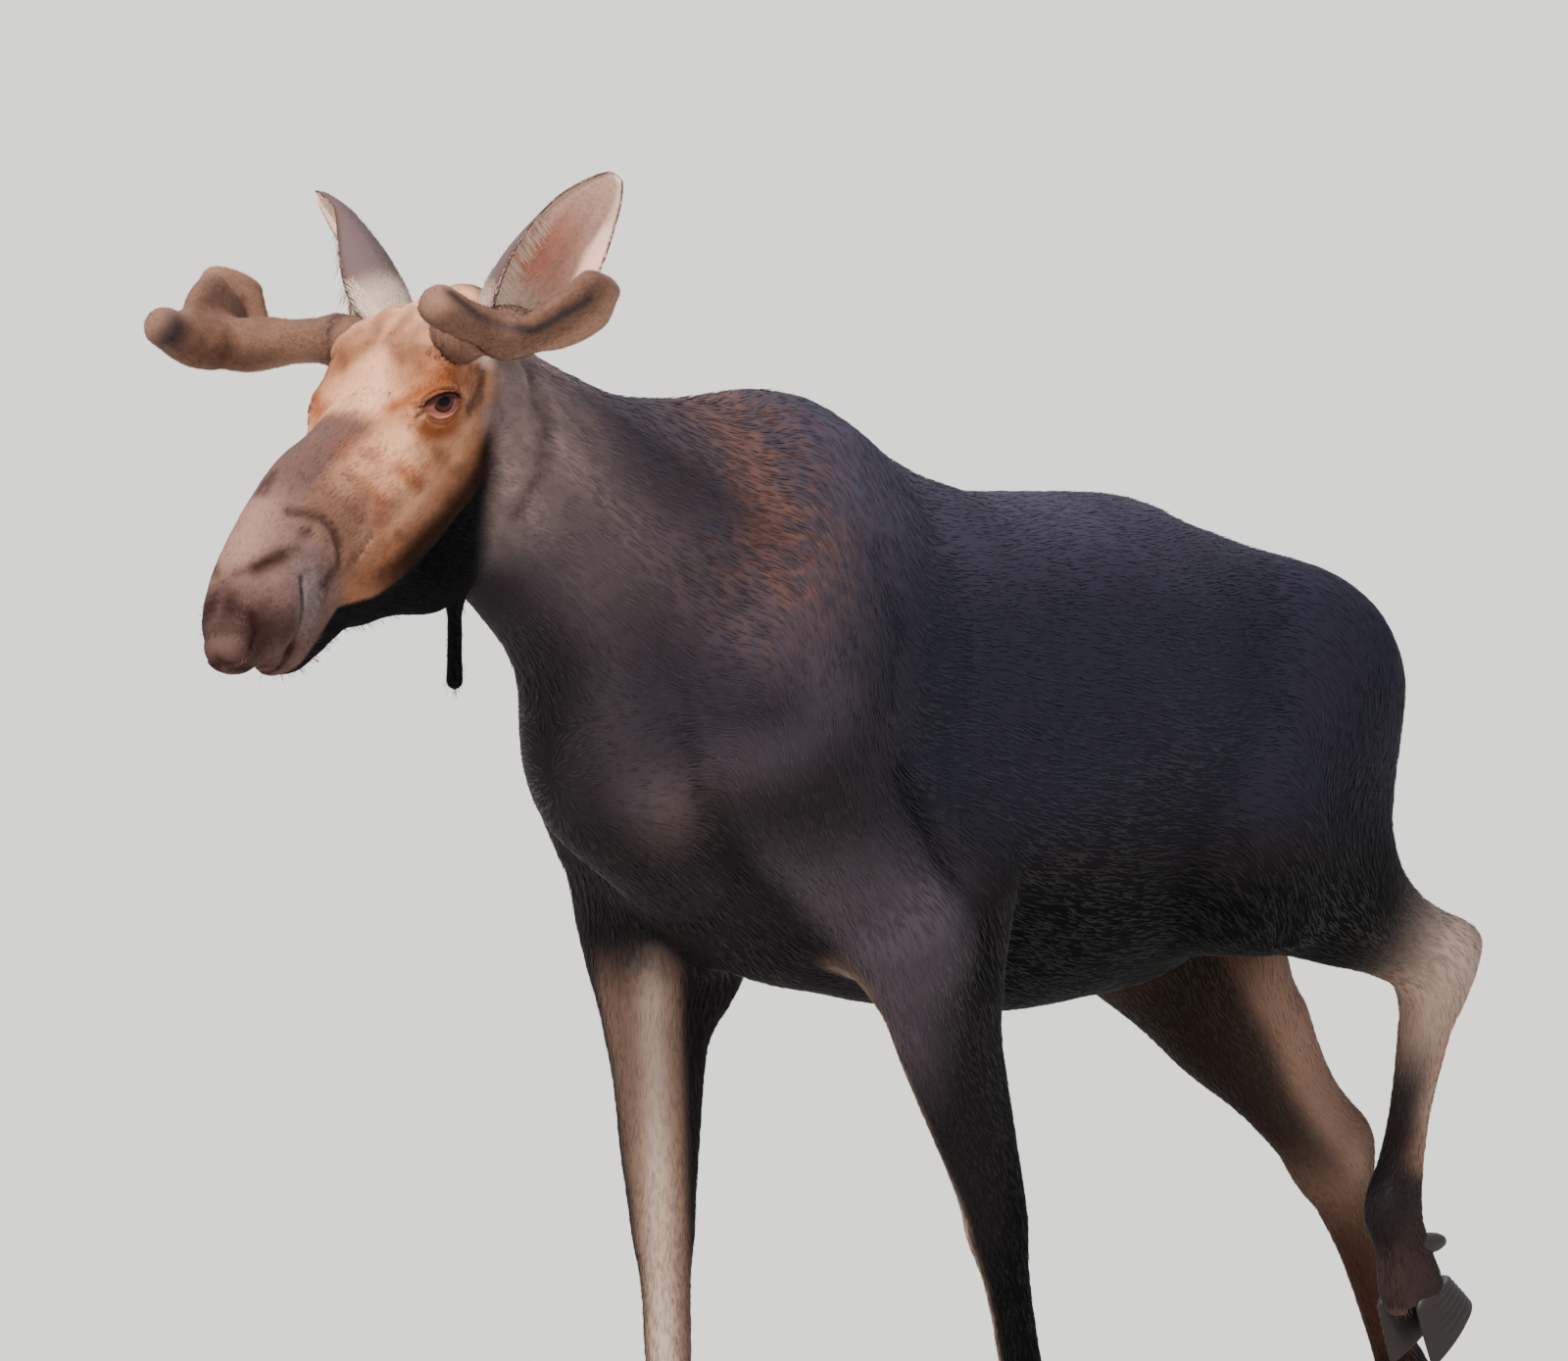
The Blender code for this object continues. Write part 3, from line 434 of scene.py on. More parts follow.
def head_form(stations, blend, above=None, lie=-1, sign=1):
    """A form whose stations are across, forward, up, half width, above and below.

    With sign -1 it is mirrored to the right side.
    """
    rows = [(*at_head(sign * row[0], *row[1:3]), *row[3:]) for row in stations]
    return Form(rows, above=above or HEAD_UP, blend=blend, lie=lie)


# ---- trunk and neck
def trunk_forms():
    """Barrel, withers, brisket and sheath."""
    barrel = Form(mm(
        (0, -290, 1210, 130, 140, 140), (0, -200, 1240, 185, 230, 230),
        (0, -30, 1250, 215, 330, 330), (0, 170, 1220, 235, 345, 355),
        (0, 400, 1190, 265, 366, 372), (0, 600, 1185, 272, 365, 365),
        (0, 800, 1190, 250, 345, 325), (0, 950, 1210, 205, 276, 260),
        (0, 1060, 1220, 150, 190, 190), (0, 1110, 1230, 100, 120, 120)))
    withers = Form([
        (0, -0.26, 1.51, 0.06, 0.12, 0.16),
        (0, -0.12, 1.545, 0.07, 0.134, 0.18),
        (0, 0.01, WITHERS - 0.15, 0.075, 0.14, 0.2),
        (0, 0.12, 1.51, 0.08, 0.145, 0.2),
        (0, 0.26, 1.44, 0.08, 0.12, 0.16)], blend=0.12)
    brisket = Form(mm(
        (0, -250, 1150, 100, 100, 80), (0, -160, 1060, 115, 100, 85),
        (0, 0, 990, 105, 90, 70), (0, 200, 960, 90, 90, 65)), blend=0.1)
    sheath = Form(mm(
        (0, 700, 885, 40, 30, 30), (0, 800, 885, 45, 30, 35),
        (0, 900, 920, 35, 30, 30)), blend=0.06)
    return [barrel, withers, brisket, sheath]


def neck_form():
    """The neck, from between the shoulders to behind the skull."""
    return Form(mm(
        (0, 0, 1360, 140, 220, 220), (0, -220, 1470, 160, 210, 250),
        (0, -400, 1575, 138, 158, 220), (0, -530, 1660, 118, 125, 185),
        (0, -610, 1725, 105, 100, 150), (0, -650, 1770, 90, 70, 110)), blend=0.12, lie=-1)


# ---- legs
# Where the joints of each leg lie, from the trunk down to the coronet.
FORELEG_JOINTS = {
    "left": dict(shoulder=(0.19, -0.17, 1.21), elbow=(0.19, 0.125, 0.97), knee=(0.153, 0.312, 0.575),
                 fetlock=(0.132, 0.425, 0.205), coronet=(0.127, 0.395, 0.092)),
    "right": dict(shoulder=(-0.19, -0.19, 1.21), elbow=(-0.18, -0.02, 0.96), knee=(-0.142, -0.045, 0.575),
                  fetlock=(-0.135, -0.035, 0.205), coronet=(-0.132, -0.07, 0.092)),
}
HINDLEG_JOINTS = {
    "left": dict(hip=(0.13, 1.02, 1.29), stifle=(0.185, 0.8, 1.03), hock=(0.17, 1.26, 0.85),
                 heel=(0.17, 1.338, 0.878), fetlock=(0.17, 1.163, 0.505), coronet=(0.17, 1.205, 0.402)),
    "right": dict(hip=(-0.13, 1.03, 1.28), stifle=(-0.165, 1.02, 0.9), hock=(-0.125, 1.375, 0.545),
                  heel=(-0.122, 1.44, 0.575), fetlock=(-0.12, 1.545, 0.205), coronet=(-0.12, 1.512, 0.092)),
}
PASTERNS = [(joints[side]["fetlock"], joints[side]["coronet"])
            for joints in (FORELEG_JOINTS, HINDLEG_JOINTS) for side, _ in SIDES]
# Sections along each bone: share of its length, half width, reach to the front and rear.
FOREARM = ((0.0, 0.076, 0.112, 0.12), (0.3, 0.062, 0.102, 0.104), (0.53, 0.053, 0.085, 0.085),
           (0.78, 0.049, 0.067, 0.07), (1.0, 0.048, 0.052, 0.055))
FORE_CANNON = ((0.0, 0.048, 0.052, 0.055), (0.13, 0.046, 0.048, 0.05), (0.35, 0.035, 0.034, 0.042),
               (0.75, 0.033, 0.032, 0.04), (1.0, 0.04, 0.04, 0.047))
GASKIN = ((0.0, 0.105, 0.12, 0.15), (0.25, 0.09, 0.1, 0.135), (0.5, 0.07, 0.08, 0.105),
          (0.75, 0.053, 0.062, 0.075), (1.0, 0.045, 0.055, 0.058))
HIND_CANNON = ((0.0, 0.045, 0.055, 0.058), (0.2, 0.041, 0.043, 0.05), (0.45, 0.035, 0.033, 0.04),
               (0.8, 0.034, 0.032, 0.04), (1.0, 0.041, 0.041, 0.048))
PASTERN = ((0.5, 0.039, 0.038, 0.04), (1.0, 0.047, 0.048, 0.042), (1.25, 0.049, 0.05, 0.042))


def beside_leg(points, joints):
    """How far points lie to the side of a leg's line, and behind it, at their own height."""
    x, y, z = points.T
    rows = np.array(sorted(joints.values(), key=lambda place: place[2]))
    return x - np.interp(z, rows[:, 2], rows[:, 0]), y - np.interp(z, rows[:, 2], rows[:, 1])


def bone(start, end, sections):
    """Stations along a bone from its shared table of sections."""
    start = np.array(start)
    end = np.array(end)
    return [(*(start + share * (end - start)), *size) for share, *size in sections]


def foreleg_forms(joints):
    """Shoulder blade, upper arm and the leg down to the coronet."""
    shoulder = np.array(joints["shoulder"])
    elbow = np.array(joints["elbow"])
    sign = math.copysign(1, shoulder[0])
    blade = Form([
        (sign * 0.07, 0.08, 1.59, 0.045, 0.09, 0.1),
        (sign * 0.12, 0.01, 1.47, 0.07, 0.12, 0.15),
        (sign * 0.155, -0.06, 1.33, 0.08, 0.13, 0.18),
        (*(shoulder + (-sign * 0.025, 0.04, 0)), 0.08, 0.1, 0.18)], above=FRONT, blend=0.1)
    arm = Form([
        (*(shoulder + (-sign * 0.02, 0.04, 0)), 0.07, 0.09, 0.12),
        (*(0.5 * (shoulder + elbow) + (0, 0.01, 0)), 0.075, 0.09, 0.14),
        (*elbow, 0.074, 0.105, 0.12)], above=FRONT, blend=0.09)
    rows = bone(elbow, joints["knee"], FOREARM)
    rows += bone(joints["knee"], joints["fetlock"], FORE_CANNON)[1:]
    rows += bone(joints["fetlock"], joints["coronet"], PASTERN)
    point = elbow + (0, 0.1, 0.03)
    olecranon = Form([
        (*(point + (0, 0.0, 0.05)), 0.045, 0.06, 0.045),
        (*point, 0.045, 0.06, 0.042),
        (*(elbow + (-sign * 0.01, 0.1, -0.09)), 0.04, 0.05, 0.03)], above=FRONT, blend=0.07)
    return [blade, arm, Form(rows, above=FRONT, blend=0.07), olecranon]


def hindleg_forms(joints):
    """Haunch, thigh, gaskin with its tendon, and the leg down to the coronet."""
    hip = np.array(joints["hip"])
    stifle = np.array(joints["stifle"])
    hock = np.array(joints["hock"])
    fetlock = np.array(joints["fetlock"])
    sign = math.copysign(1, hip[0])
    haunch = Form([
        (sign * 0.1, 0.86, 1.34, 0.09, 0.1, 0.13),
        (sign * 0.12, 0.97, 1.3, 0.115, 0.12, 0.17),
        (sign * 0.105, 1.08, 1.24, 0.095, 0.11, 0.16)], blend=0.09)
    thigh = Form([
        (*hip, 0.115, 0.15, 0.14),
        (*(0.5 * (hip + stifle) + (0, 0.03, 0)), 0.115, 0.155, 0.16),
        (*stifle, 0.095, 0.115, 0.14)], above=FRONT, blend=0.1)
    buttock = Form([
        (sign * 0.08, 1.08, 1.24, 0.08, 0.1, 0.05),
        (sign * 0.115, 1.105, 1.1, 0.085, 0.12, 0.058),
        (*(0.55 * stifle + 0.45 * hock + (0, 0.02, 0.03)), 0.075, 0.1, 0.08)], above=FRONT, blend=0.09)
    gaskin = Form(bone(stifle, hock, GASKIN), above=FRONT, blend=0.08)
    rows = bone(hock, fetlock, HIND_CANNON) + bone(fetlock, joints["coronet"], PASTERN)
    cannon = Form(rows, above=FRONT, blend=0.04)
    heel = np.array(joints["heel"])
    shin = hock - stifle
    shank = unit(fetlock - hock)
    behind = unit(heel - hock)
    tendon = Form([
        (*(stifle + 0.52 * shin + 0.08 * unit(unit(shin) - shank)), 0.04, 0.035, 0.03),
        (*(0.45 * heel + 0.55 * (stifle + 0.62 * shin) + 0.035 * behind), 0.028, 0.03, 0.024),
        (*heel, 0.025, 0.028, 0.024),
        (*(hock + 0.06 * shank + 0.03 * behind), 0.027, 0.025, 0.02)], above=FRONT, blend=0.045)
    return [haunch, thigh, buttock, gaskin, cannon, tendon]


# ---- head
def head_forms():
    """Skull, muzzle, jaw, cheeks, brows and the stumps that carry the antlers."""
    skull = head_form(mm(
        (0, -190, -50, 60, 50, 70), (0, -130, -50, 90, 68, 90),
        (0, -60, -52, 104, 84, 95), (0, 20, -58, 100, 96, 105),
        (0, 110, -50, 82, 108, 108), (0, 190, -36, 73, 120, 106),
        (0, 270, -22, 72, 108, 88), (0, 340, -10, 75, 84, 66),
        (0, 393, -5, 67, 54, 54), (0, 422, -8, 49, 32, 38)), blend=0.03)
    jaw = head_form(mm(
        (0, 10, -120, 74, 50, 50), (0, 110, -125, 64, 50, 50),
        (0, 210, -112, 50, 45, 44), (0, 300, -96, 42, 35, 38),
        (0, 365, -82, 40, 30, 33), (0, 392, -72, 30, 20, 22)), blend=0.03)
    throat = head_form(mm(
        (0, 235, -150, 22, 30, 18), (0, 185, -190, 28, 40, 24),
        (0, 130, -232, 30, 50, 36), (0, 70, -245, 30, 60, 36),
        (0, 0, -240, 35, 60, 35)), blend=0.05, lie=1)
    forms = [skull, jaw, throat]
    for _, sign in SIDES:
        brow = head_form(mm(
            (70, -50, 10, 30, 20, 20), (88, -10, 2, 32, 24, 24),
            (78, 50, -12, 26, 20, 20)), sign=sign, blend=0.04)
        cheek = head_form(mm(
            (80, -20, -45, 26, 30, 30), (72, 60, -50, 22, 26, 28),
            (56, 150, -40, 16, 22, 24)), sign=sign, blend=0.04)
        mandible = head_form(mm(
            (60, -50, -106, 25, 30, 32), (56, 0, -136, 24, 30, 30),
            (50, 45, -141, 24, 30, 29), (46, 100, -136, 22, 30, 28),
            (42, 160, -125, 20, 28, 25), (36, 225, -108, 18, 24, 22)), sign=sign, blend=0.03)
        pedicle = head_form(mm(
            (50, -85, 0, 36, 36, 36), (98, -92, 14, 31, 31, 31)), sign=sign, blend=0.05, lie=1)
        forms += [brow, cheek, mandible, pedicle]
    return forms


def tail_form():
    """A short stub of a tail that lies against the rump."""
    return Form(mm(
        (0, 1080, 1390, 30, 25, 25), (0, 1175, 1345, 30, 20, 20),
        (0, 1212, 1275, 24, 15, 15)), blend=0.03)


def bell_form():
    """The rope of skin that hangs from the throat."""
    throat = (0, -0.612, 1.52)
    length = 0.195
    return Form([(*throat, 0.022, 0.022, 0.022),
                 (0, throat[1] + 0.001, throat[2] - 0.4 * length, 0.0125, 0.0125, 0.0125),
                 (0, throat[1] - 0.001, throat[2] - 0.8 * length, 0.0125, 0.0125, 0.0125),
                 (0, throat[1], throat[2] - length, 0.0135, 0.0135, 0.0135)], above=FRONT, blend=0.02)


def all_forms():
    """Every form of the flesh."""
    forms = trunk_forms() + [neck_form(), tail_form(), bell_form()]
    for side, _ in SIDES:
        forms += foreleg_forms(FORELEG_JOINTS[side])
        forms += hindleg_forms(HINDLEG_JOINTS[side])
    return forms + head_forms()


# ---- eyes and their lids
EYE_PLACE = (0.0945, -0.0135, -0.0155)   # across, forward and up from between the eyes
GAZE = unit(np.array([0.93, 0.28, 0.16]))
SLIT_PLACE = (-0.002, -0.012)            # forward and up of the middle of the opening
SLIT = dict(inner=0.029, outer=0.029, upper=0.0115, lower=0.018)
SLIT_TILT = math.radians(38)             # of the line through both corners, in the head's frame
TILT_COS = math.cos(SLIT_TILT)
TILT_SIN = math.sin(SLIT_TILT)
LID_THICKNESS = 0.003
IRIS = 0.0165


class Ball:
    """The round of an eye under its lids, melted in like a form."""

    def __init__(self, sign):
        across, forward, up = EYE_PLACE
        self.middle = np.array(at_head(sign * across, forward, up))
        self.radius = EYE_RADIUS + LID_THICKNESS
        self.blend = 0.016

    def distance(self, points):
        """How far each point is outside the ball."""
        return np.linalg.norm(points - self.middle, axis=1) - self.radius


def in_slit(points):
    """Distance to the edge of the lids, negative between them, and places along and above the slit."""
    local = in_head(points) - np.array([EYE_PLACE[0], *SLIT_PLACE])
    toward = local[:, 1] * TILT_COS + local[:, 2] * TILT_SIN
    above = local[:, 2] * TILT_COS - local[:, 1] * TILT_SIN
    half = np.where(toward > 0, SLIT["inner"], SLIT["outer"])
    arch = np.maximum(1 - (toward / half) ** 2, 0)
    upper = SLIT["upper"] * arch ** 0.7
    lower = SLIT["lower"] * arch ** 0.7
    edge = np.maximum(above - upper, -lower - above)
    edge = np.maximum(edge, np.abs(toward) - half)
    near = (np.linalg.norm(local, axis=1) < 0.045) & (local[:, 0] > 0)
    return np.where(near, edge, 0.05), toward, above


# ---- relief of the skin
# Lines and places in the head's frame: distance from the middle, forward, up.
MOUTH = mm((72, 314, 4), (75, 333, -13), (70, 350, -31), (55, 361, -50), (40, 372, -62),
           (27, 400, -72), (0, 412, -74))
NOSTRIL = mm((49, 396, 26), (55, 412, 10), (48, 428, -4))
CHEEK_FOLD = mm((46, 243, 58), (64, 223, 24), (70, 224, 0), (72, 239, -26), (71, 256, -38),
                (71, 294, -34))
SECOND_FOLD = mm((73, 186, -56), (70, 207, -59), (69, 230, -57))
LOWER_LIP = mm((71, 290, -36), (68, 320, -46), (58, 340, -62), (44, 360, -74), (34, 382, -82))
# The lower edge of the brown face, from behind the jaw to the tip of the chin.
CHIN_EDGE = mm((70, -60, -137), (70, -33, -154), (70, 0, -165), (68, 40, -168), (65, 90, -163),
               (60, 142, -152), (55, 185, -146), (50, 234, -126), (50, 262, -106), (52, 290, -83),
               (43, 324, -88), (30, 385, -92))
TEAR_FOLD = mm((112, 24, 4), (105, 39, 6), (103, 52, 1))
BROW_SHADE = mm((112, -85, -30), (103, -98, -50), (104, -67, -68), (112, -34, -62))
ANTLER_FOLD = mm((95, -54, 37), (115, -54, 23), (126, -66, -3), (118, -88, -26))
JAW_EDGE = mm((92, -60, -110), (90, -20, -146), (80, 10, -160))
NECK_FOLD = mm((86, -166, -126), (97, -138, -145), (100, -123, -188), (98, -79, -218), (89, -41, -234),
               (75, -7, -243))
NECK_LINE = mm((88, -165, -115), (91, -154, -123), (97, -134, -140))
# Lines of the body, in the model's own frame: across, back and up.
TRICEPS_EDGE = mm((262, 10, 1183), (267, 96, 1058), (274, 174, 960), (262, 200, 900))
UPPER_ARM = mm((225, -60, 1170), (235, 0, 1050), (250, 60, 960))
CHEST_CREASE = mm((140, -250, 1160), (133, -227, 1101), (130, -173, 1045), (137, -111, 1002))
SCAPULA_EDGE = mm((205, 34, 1489), (236, 40, 1382), (254, -7, 1277))
CHEST_POINT = (0.122, -0.303, 1.131)
FLANK_FOLD = mm((280, 705, 1050), (288, 760, 971), (255, 842, 910))
WHORL = mm((29, -120, 48), (10, -73, 47), (27, -61, 45), (56, -40, 40))
NOSE_BAND = mm((18, 354, 63), (43, 338, 56), (57, 310, 45), (63, 285, 32))
NOSE_PATCH = mm((22, 394, 45), (43, 402, 30), (55, 412, 10), (47, 430, -6))


def near_feet(points):
    """One along each pastern, falling to none above the fetlock."""
    return np.max([near_line(points, line, 0.06) for line in PASTERNS], axis=0)


# Relief of the skin: how far it stands out, a line with its width or a spot with its reach.
FACE_RELIEF = (
    (-0.007, MOUTH, 0.003),
    (0.003, LOWER_LIP, 0.008),
    (-0.005, NOSTRIL, 0.005),
    (-0.0045, CHEEK_FOLD, 0.007),
    (0.005, (0.064, 0.262, 0.01), (0.03, 0.032, 0.034)),
    (-0.002, (0.063, 0.254, 0.029), (0.01, 0.01, 0.01)),
    (-0.004, SECOND_FOLD, 0.0035),
    (0.003, mm((76, 200, -74), (68, 250, -70)), 0.01),
    (-0.003, TEAR_FOLD, 0.003),
    (0.0035, mm((98, 60, -50), (90, 130, -45)), 0.012),
    (-0.003, mm((90, 30, -85), (83, 80, -92), (73, 140, -80)), 0.011),
    (-0.0025, mm((85, 80, 10), (72, 150, 12)), 0.012),
    (-0.004, BROW_SHADE, 0.007),
    (-0.0055, ANTLER_FOLD, 0.005),
    (0.004, mm((62, -50, 47), (78, -72, 47)), 0.012),
    (-0.005, JAW_EDGE, 0.011),
)
NECK_RELIEF = (
    (-0.004, NECK_FOLD, 0.015),
    (0.003, mm((100, -160, -170), (98, -100, -250)), 0.012),
)
BODY_RELIEF = (
    (-0.01, TRICEPS_EDGE, 0.022),
    (0.009, UPPER_ARM, 0.045),
    (-0.003, CHEST_CREASE, 0.04),
    (0.008, CHEST_POINT, (0.07, 0.07, 0.08)),
    (-0.006, SCAPULA_EDGE, 0.028),
    (-0.007, FLANK_FOLD, 0.02),
)


def add_relief(height, points, rows):
    """Add rows of relief to heights, one after another."""
    for amount, place, reach in rows:
        near = near_spot if np.ndim(reach) else near_line
        height += amount * near(points, place, reach)


def relief(points):
    """How far the skin stands out, or lies in, beside the plain melted forms."""
    local = in_head(points)
    head = head_share(points)
    height = np.zeros(len(points))
    add_relief(height, local, FACE_RELIEF)
    wrinkle = near_line(local, LOWER_LIP, 0.012)
    height += 0.0006 * wrinkle * np.sin(local[:, 1] / 0.0016 + 5 * lumps(points, 0.012, 3))
    tuft = near_line(local, WHORL, 0.016)
    height += (0.0016 * head + 0.004 * tuft) * (lumps(points, 0.014, 2) - 0.5)
    add_relief(height, local, NECK_RELIEF)
    add_relief(height, points, BODY_RELIEF)
    height += 0.0022 * near_feet(points)
    body = 1 - head
    height += 0.006 * body * (lumps(points, (0.09, 0.13, 0.12), 1) - 0.5)
    throat = near_spot(points, (0, -0.53, 1.6), (0.2, 0.09, 0.12))
    ripple = np.sin((points[:, 1] + 0.3 * points[:, 2]) / 0.0095 + 5 * lumps(points, 0.08, 3))
    height += 0.0016 * body * throat * ripple
    hock = near_spot(points, (0.17, 1.27, 0.86), (0.1, 0.06, 0.07))
    ripple = np.sin((points[:, 2] + 0.7 * points[:, 1]) / 0.0045 + 4 * lumps(points, 0.05, 4))
    return height + 0.0018 * hock * ripple


def skin_level(points):
    """The distance from the melted forms at which the skin lies."""
    edge, _, above = in_slit(points)
    beside = fade(edge, 0.026, 0.008)
    upper = fade(above, -0.004, 0.004)
    level = -by_part(points, COAT_DEPTH) * (1 - 0.8 * beside)
    level += relief(points) * (1 - 0.7 * beside)
    level += (0.0008 + 0.0016 * upper) * np.exp(-((edge - 0.0022) / 0.002) ** 2)
    level -= (0.0012 + 0.0018 * upper) * np.exp(-((edge - 0.008) / 0.0018) ** 2)
    level += 0.0014 * np.exp(-((edge - 0.0125) / 0.003) ** 2)
    return level


def follow_lids(vertices):
    """Move vertices beside the edge of the lids onto it, so that it runs smoothly."""
    step = 0.0003
    edge, _, _ = in_slit(vertices)
    moved = vertices.copy()
    for axis in HEAD_TURN[1:]:
        slope = (in_slit(vertices + step * axis)[0] - edge) / step
        moved -= (edge * slope * (np.abs(edge) < 0.0006))[:, None] * axis
    return moved


def open_lids(vertices):
    """Press the skin between the lids inward, deeper toward the middle of the eye."""
    edge, _, _ = in_slit(vertices)
    side = np.sign((vertices - EYES) @ HEAD_TURN[0])
    depth = fade(edge, 0.0002, -0.0009) * (0.0042 + 0.45 * np.maximum(-edge, 0))
    return vertices - (depth * side)[:, None] * HEAD_TURN[0]


# ---- lie of the coat
def coat_lie(forms, points, normals):
    """Unit directions in the surface along which the hairs lie."""
    total = np.tile(np.array([0.0, 0.1, -0.04]), (len(points), 1))
    for form in forms:
        if not isinstance(form, Form):
            continue
        near = form.distance(points, 0.12)
        close = near < 0.12
        place = form.locate(points[close])
        weight = np.exp(-np.maximum(near[close], 0) / 0.02)
        total[close] += form.lie * weight[:, None] * form.between(form.tangent, place)
    swirl = lumps(points, 0.16, 5) - 0.5
    side = np.cross(normals, total)
    total = total + 0.5 * swirl[:, None] * side
    total -= (total * normals).sum(1)[:, None] * normals
    return unit(total)


# ---- markings, with painted light and shade
def paint(red, green, blue):
    """A colour given as it looks on a screen, turned into light."""
    values = np.array([red, green, blue]) / 255
    return np.where(values > 0.04045, ((values + 0.055) / 1.055) ** 2.4, values / 12.92)


BLACK = paint(34, 29, 32)
# Near black painted as shade in creases, under the belly and along the front of the far hind leg.
SHADE_BLACK = paint(12, 11, 12)
# A bluish painted sheen for the upper trunk, and a lighter slate painted on the top of the back where the
# light falls.
SHEEN_BLUE_BLACK = paint(43, 41, 54)
TOP_LIGHT_SLATE = paint(74, 69, 82)
SMOKE = paint(74, 65, 72)
RUST = paint(112, 82, 74)
GASKIN_BROWN = paint(78, 54, 42)
UMBER = paint(86, 68, 62)
NECK_GREY = paint(150, 128, 122)
TAN = paint(178, 128, 100)
PALE = paint(230, 178, 148)
BROWN = paint(106, 66, 44)
ORANGE = paint(142, 84, 54)
# Dark brown painted as shadow along the jaw and in the shade of the brow.
SHADOW_BROWN = paint(50, 27, 16)
MUZZLE = paint(120, 98, 94)
MAUVE = paint(106, 82, 77)
NOSE_TOP = paint(158, 124, 112)
# Dark brown of the muzzle, also painted as shade in folds and hollows.
DARK_MUZZLE_AND_SHADE = paint(48, 27, 22)
LIP_GREY = paint(128, 116, 114)
LIP = paint(48, 28, 28)
CHIN = paint(16, 13, 15)
CREAM = paint(236, 214, 196)
PINK = paint(186, 126, 116)
SHANK = paint(152, 122, 106)
GREY_TAN = paint(196, 170, 156)
# Marks on the face: colour, line, width and share. Some are painted shade in folds and hollows.
FACE_MARKS = (
    (ORANGE, mm((71, 32, 23), (85, 22, 22), (101, 7, 20), (113, -3, 16)), 0.014, 0.85),
    (ORANGE, mm((115, -28, 15), (120, -50, 2), (114, -62, -30)), 0.016, 0.8),
    (ORANGE, mm((110, 43, -11), (112, 31, -34), (113, 6, -51)), 0.013, 0.9),
    (SHADOW_BROWN, BROW_SHADE[1:], 0.01, 1.0),
    (BROWN, BROW_SHADE[:2], 0.01, 0.7),
    (NECK_GREY, mm((99, -63, -98), (98, -50, -110)), 0.018, 0.7),
    (ORANGE, mm((90, 99, -23), (95, 99, -45), (93, 94, -68)), 0.013, 0.75),
    (ORANGE, mm((80, 150, -30), (78, 165, -50)), 0.012, 0.5),
    (ORANGE, mm((70, 60, 35), (50, 120, 40)), 0.018, 0.3),
    (BROWN, WHORL, 0.013, 0.7),
    (BROWN, mm((60, -85, 47), (70, -60, 45), (90, -50, 38)), 0.014, 0.5),
    # Painted shade in the fold under the antler.
    (DARK_MUZZLE_AND_SHADE, ANTLER_FOLD, 0.005, 0.8),
    (DARK_MUZZLE_AND_SHADE, TEAR_FOLD, 0.003, 0.8),
    (DARK_MUZZLE_AND_SHADE, mm((0, 199, 85), (4, 214, 86), (7, 229, 85)), 0.009, 0.7),
    (DARK_MUZZLE_AND_SHADE, mm((63, 254, 29), (60, 262, 33)), 0.009, 0.5),
    (DARK_MUZZLE_AND_SHADE, NOSE_BAND, 0.009, 0.5),
    (DARK_MUZZLE_AND_SHADE, NOSE_BAND[1:3], 0.013, 0.8),
    (DARK_MUZZLE_AND_SHADE, mm((0, 368, 58), (8, 380, 54), (14, 397, 45)), 0.014, 0.4),
    # Dark round the nostril: the muzzle's own dark colour and painted shade in its hollow.
    (DARK_MUZZLE_AND_SHADE, NOSE_PATCH, 0.022, 0.75),
    (DARK_MUZZLE_AND_SHADE, mm((52, 395, 14), (56, 380, -22)), 0.026, 0.55),
    (DARK_MUZZLE_AND_SHADE, mm((0, 453, -1), (27, 450, -22), (20, 425, -50)), 0.012, 0.8),
    # Painted shade in the cheek fold and the second fold.
    (DARK_MUZZLE_AND_SHADE, CHEEK_FOLD, 0.01, 0.55),
    (DARK_MUZZLE_AND_SHADE, SECOND_FOLD, 0.004, 0.7),
    (LIP_GREY, mm((72, 300, 0), (74, 330, -36), (60, 345, -66)), 0.018, 0.7),
    (LIP_GREY, mm((66, 318, -2), (68, 338, -22), (52, 356, -44)), 0.01, 0.6),
    (LIP, NOSTRIL, 0.006, 0.9),
    (LIP, MOUTH, 0.004, 0.95),
)


def between(colour, other, share):
    """A blend of two colours: the first at no share, the other at a share of one."""
    return colour * (1 - share) + other * share


def layered(colours, layers):
    """Colours moved toward one colour after another, each by its own share."""
    for colour, share in layers:
        colours = colours + (colour - colours) * np.clip(share, 0, 1)[:, None]
    return colours


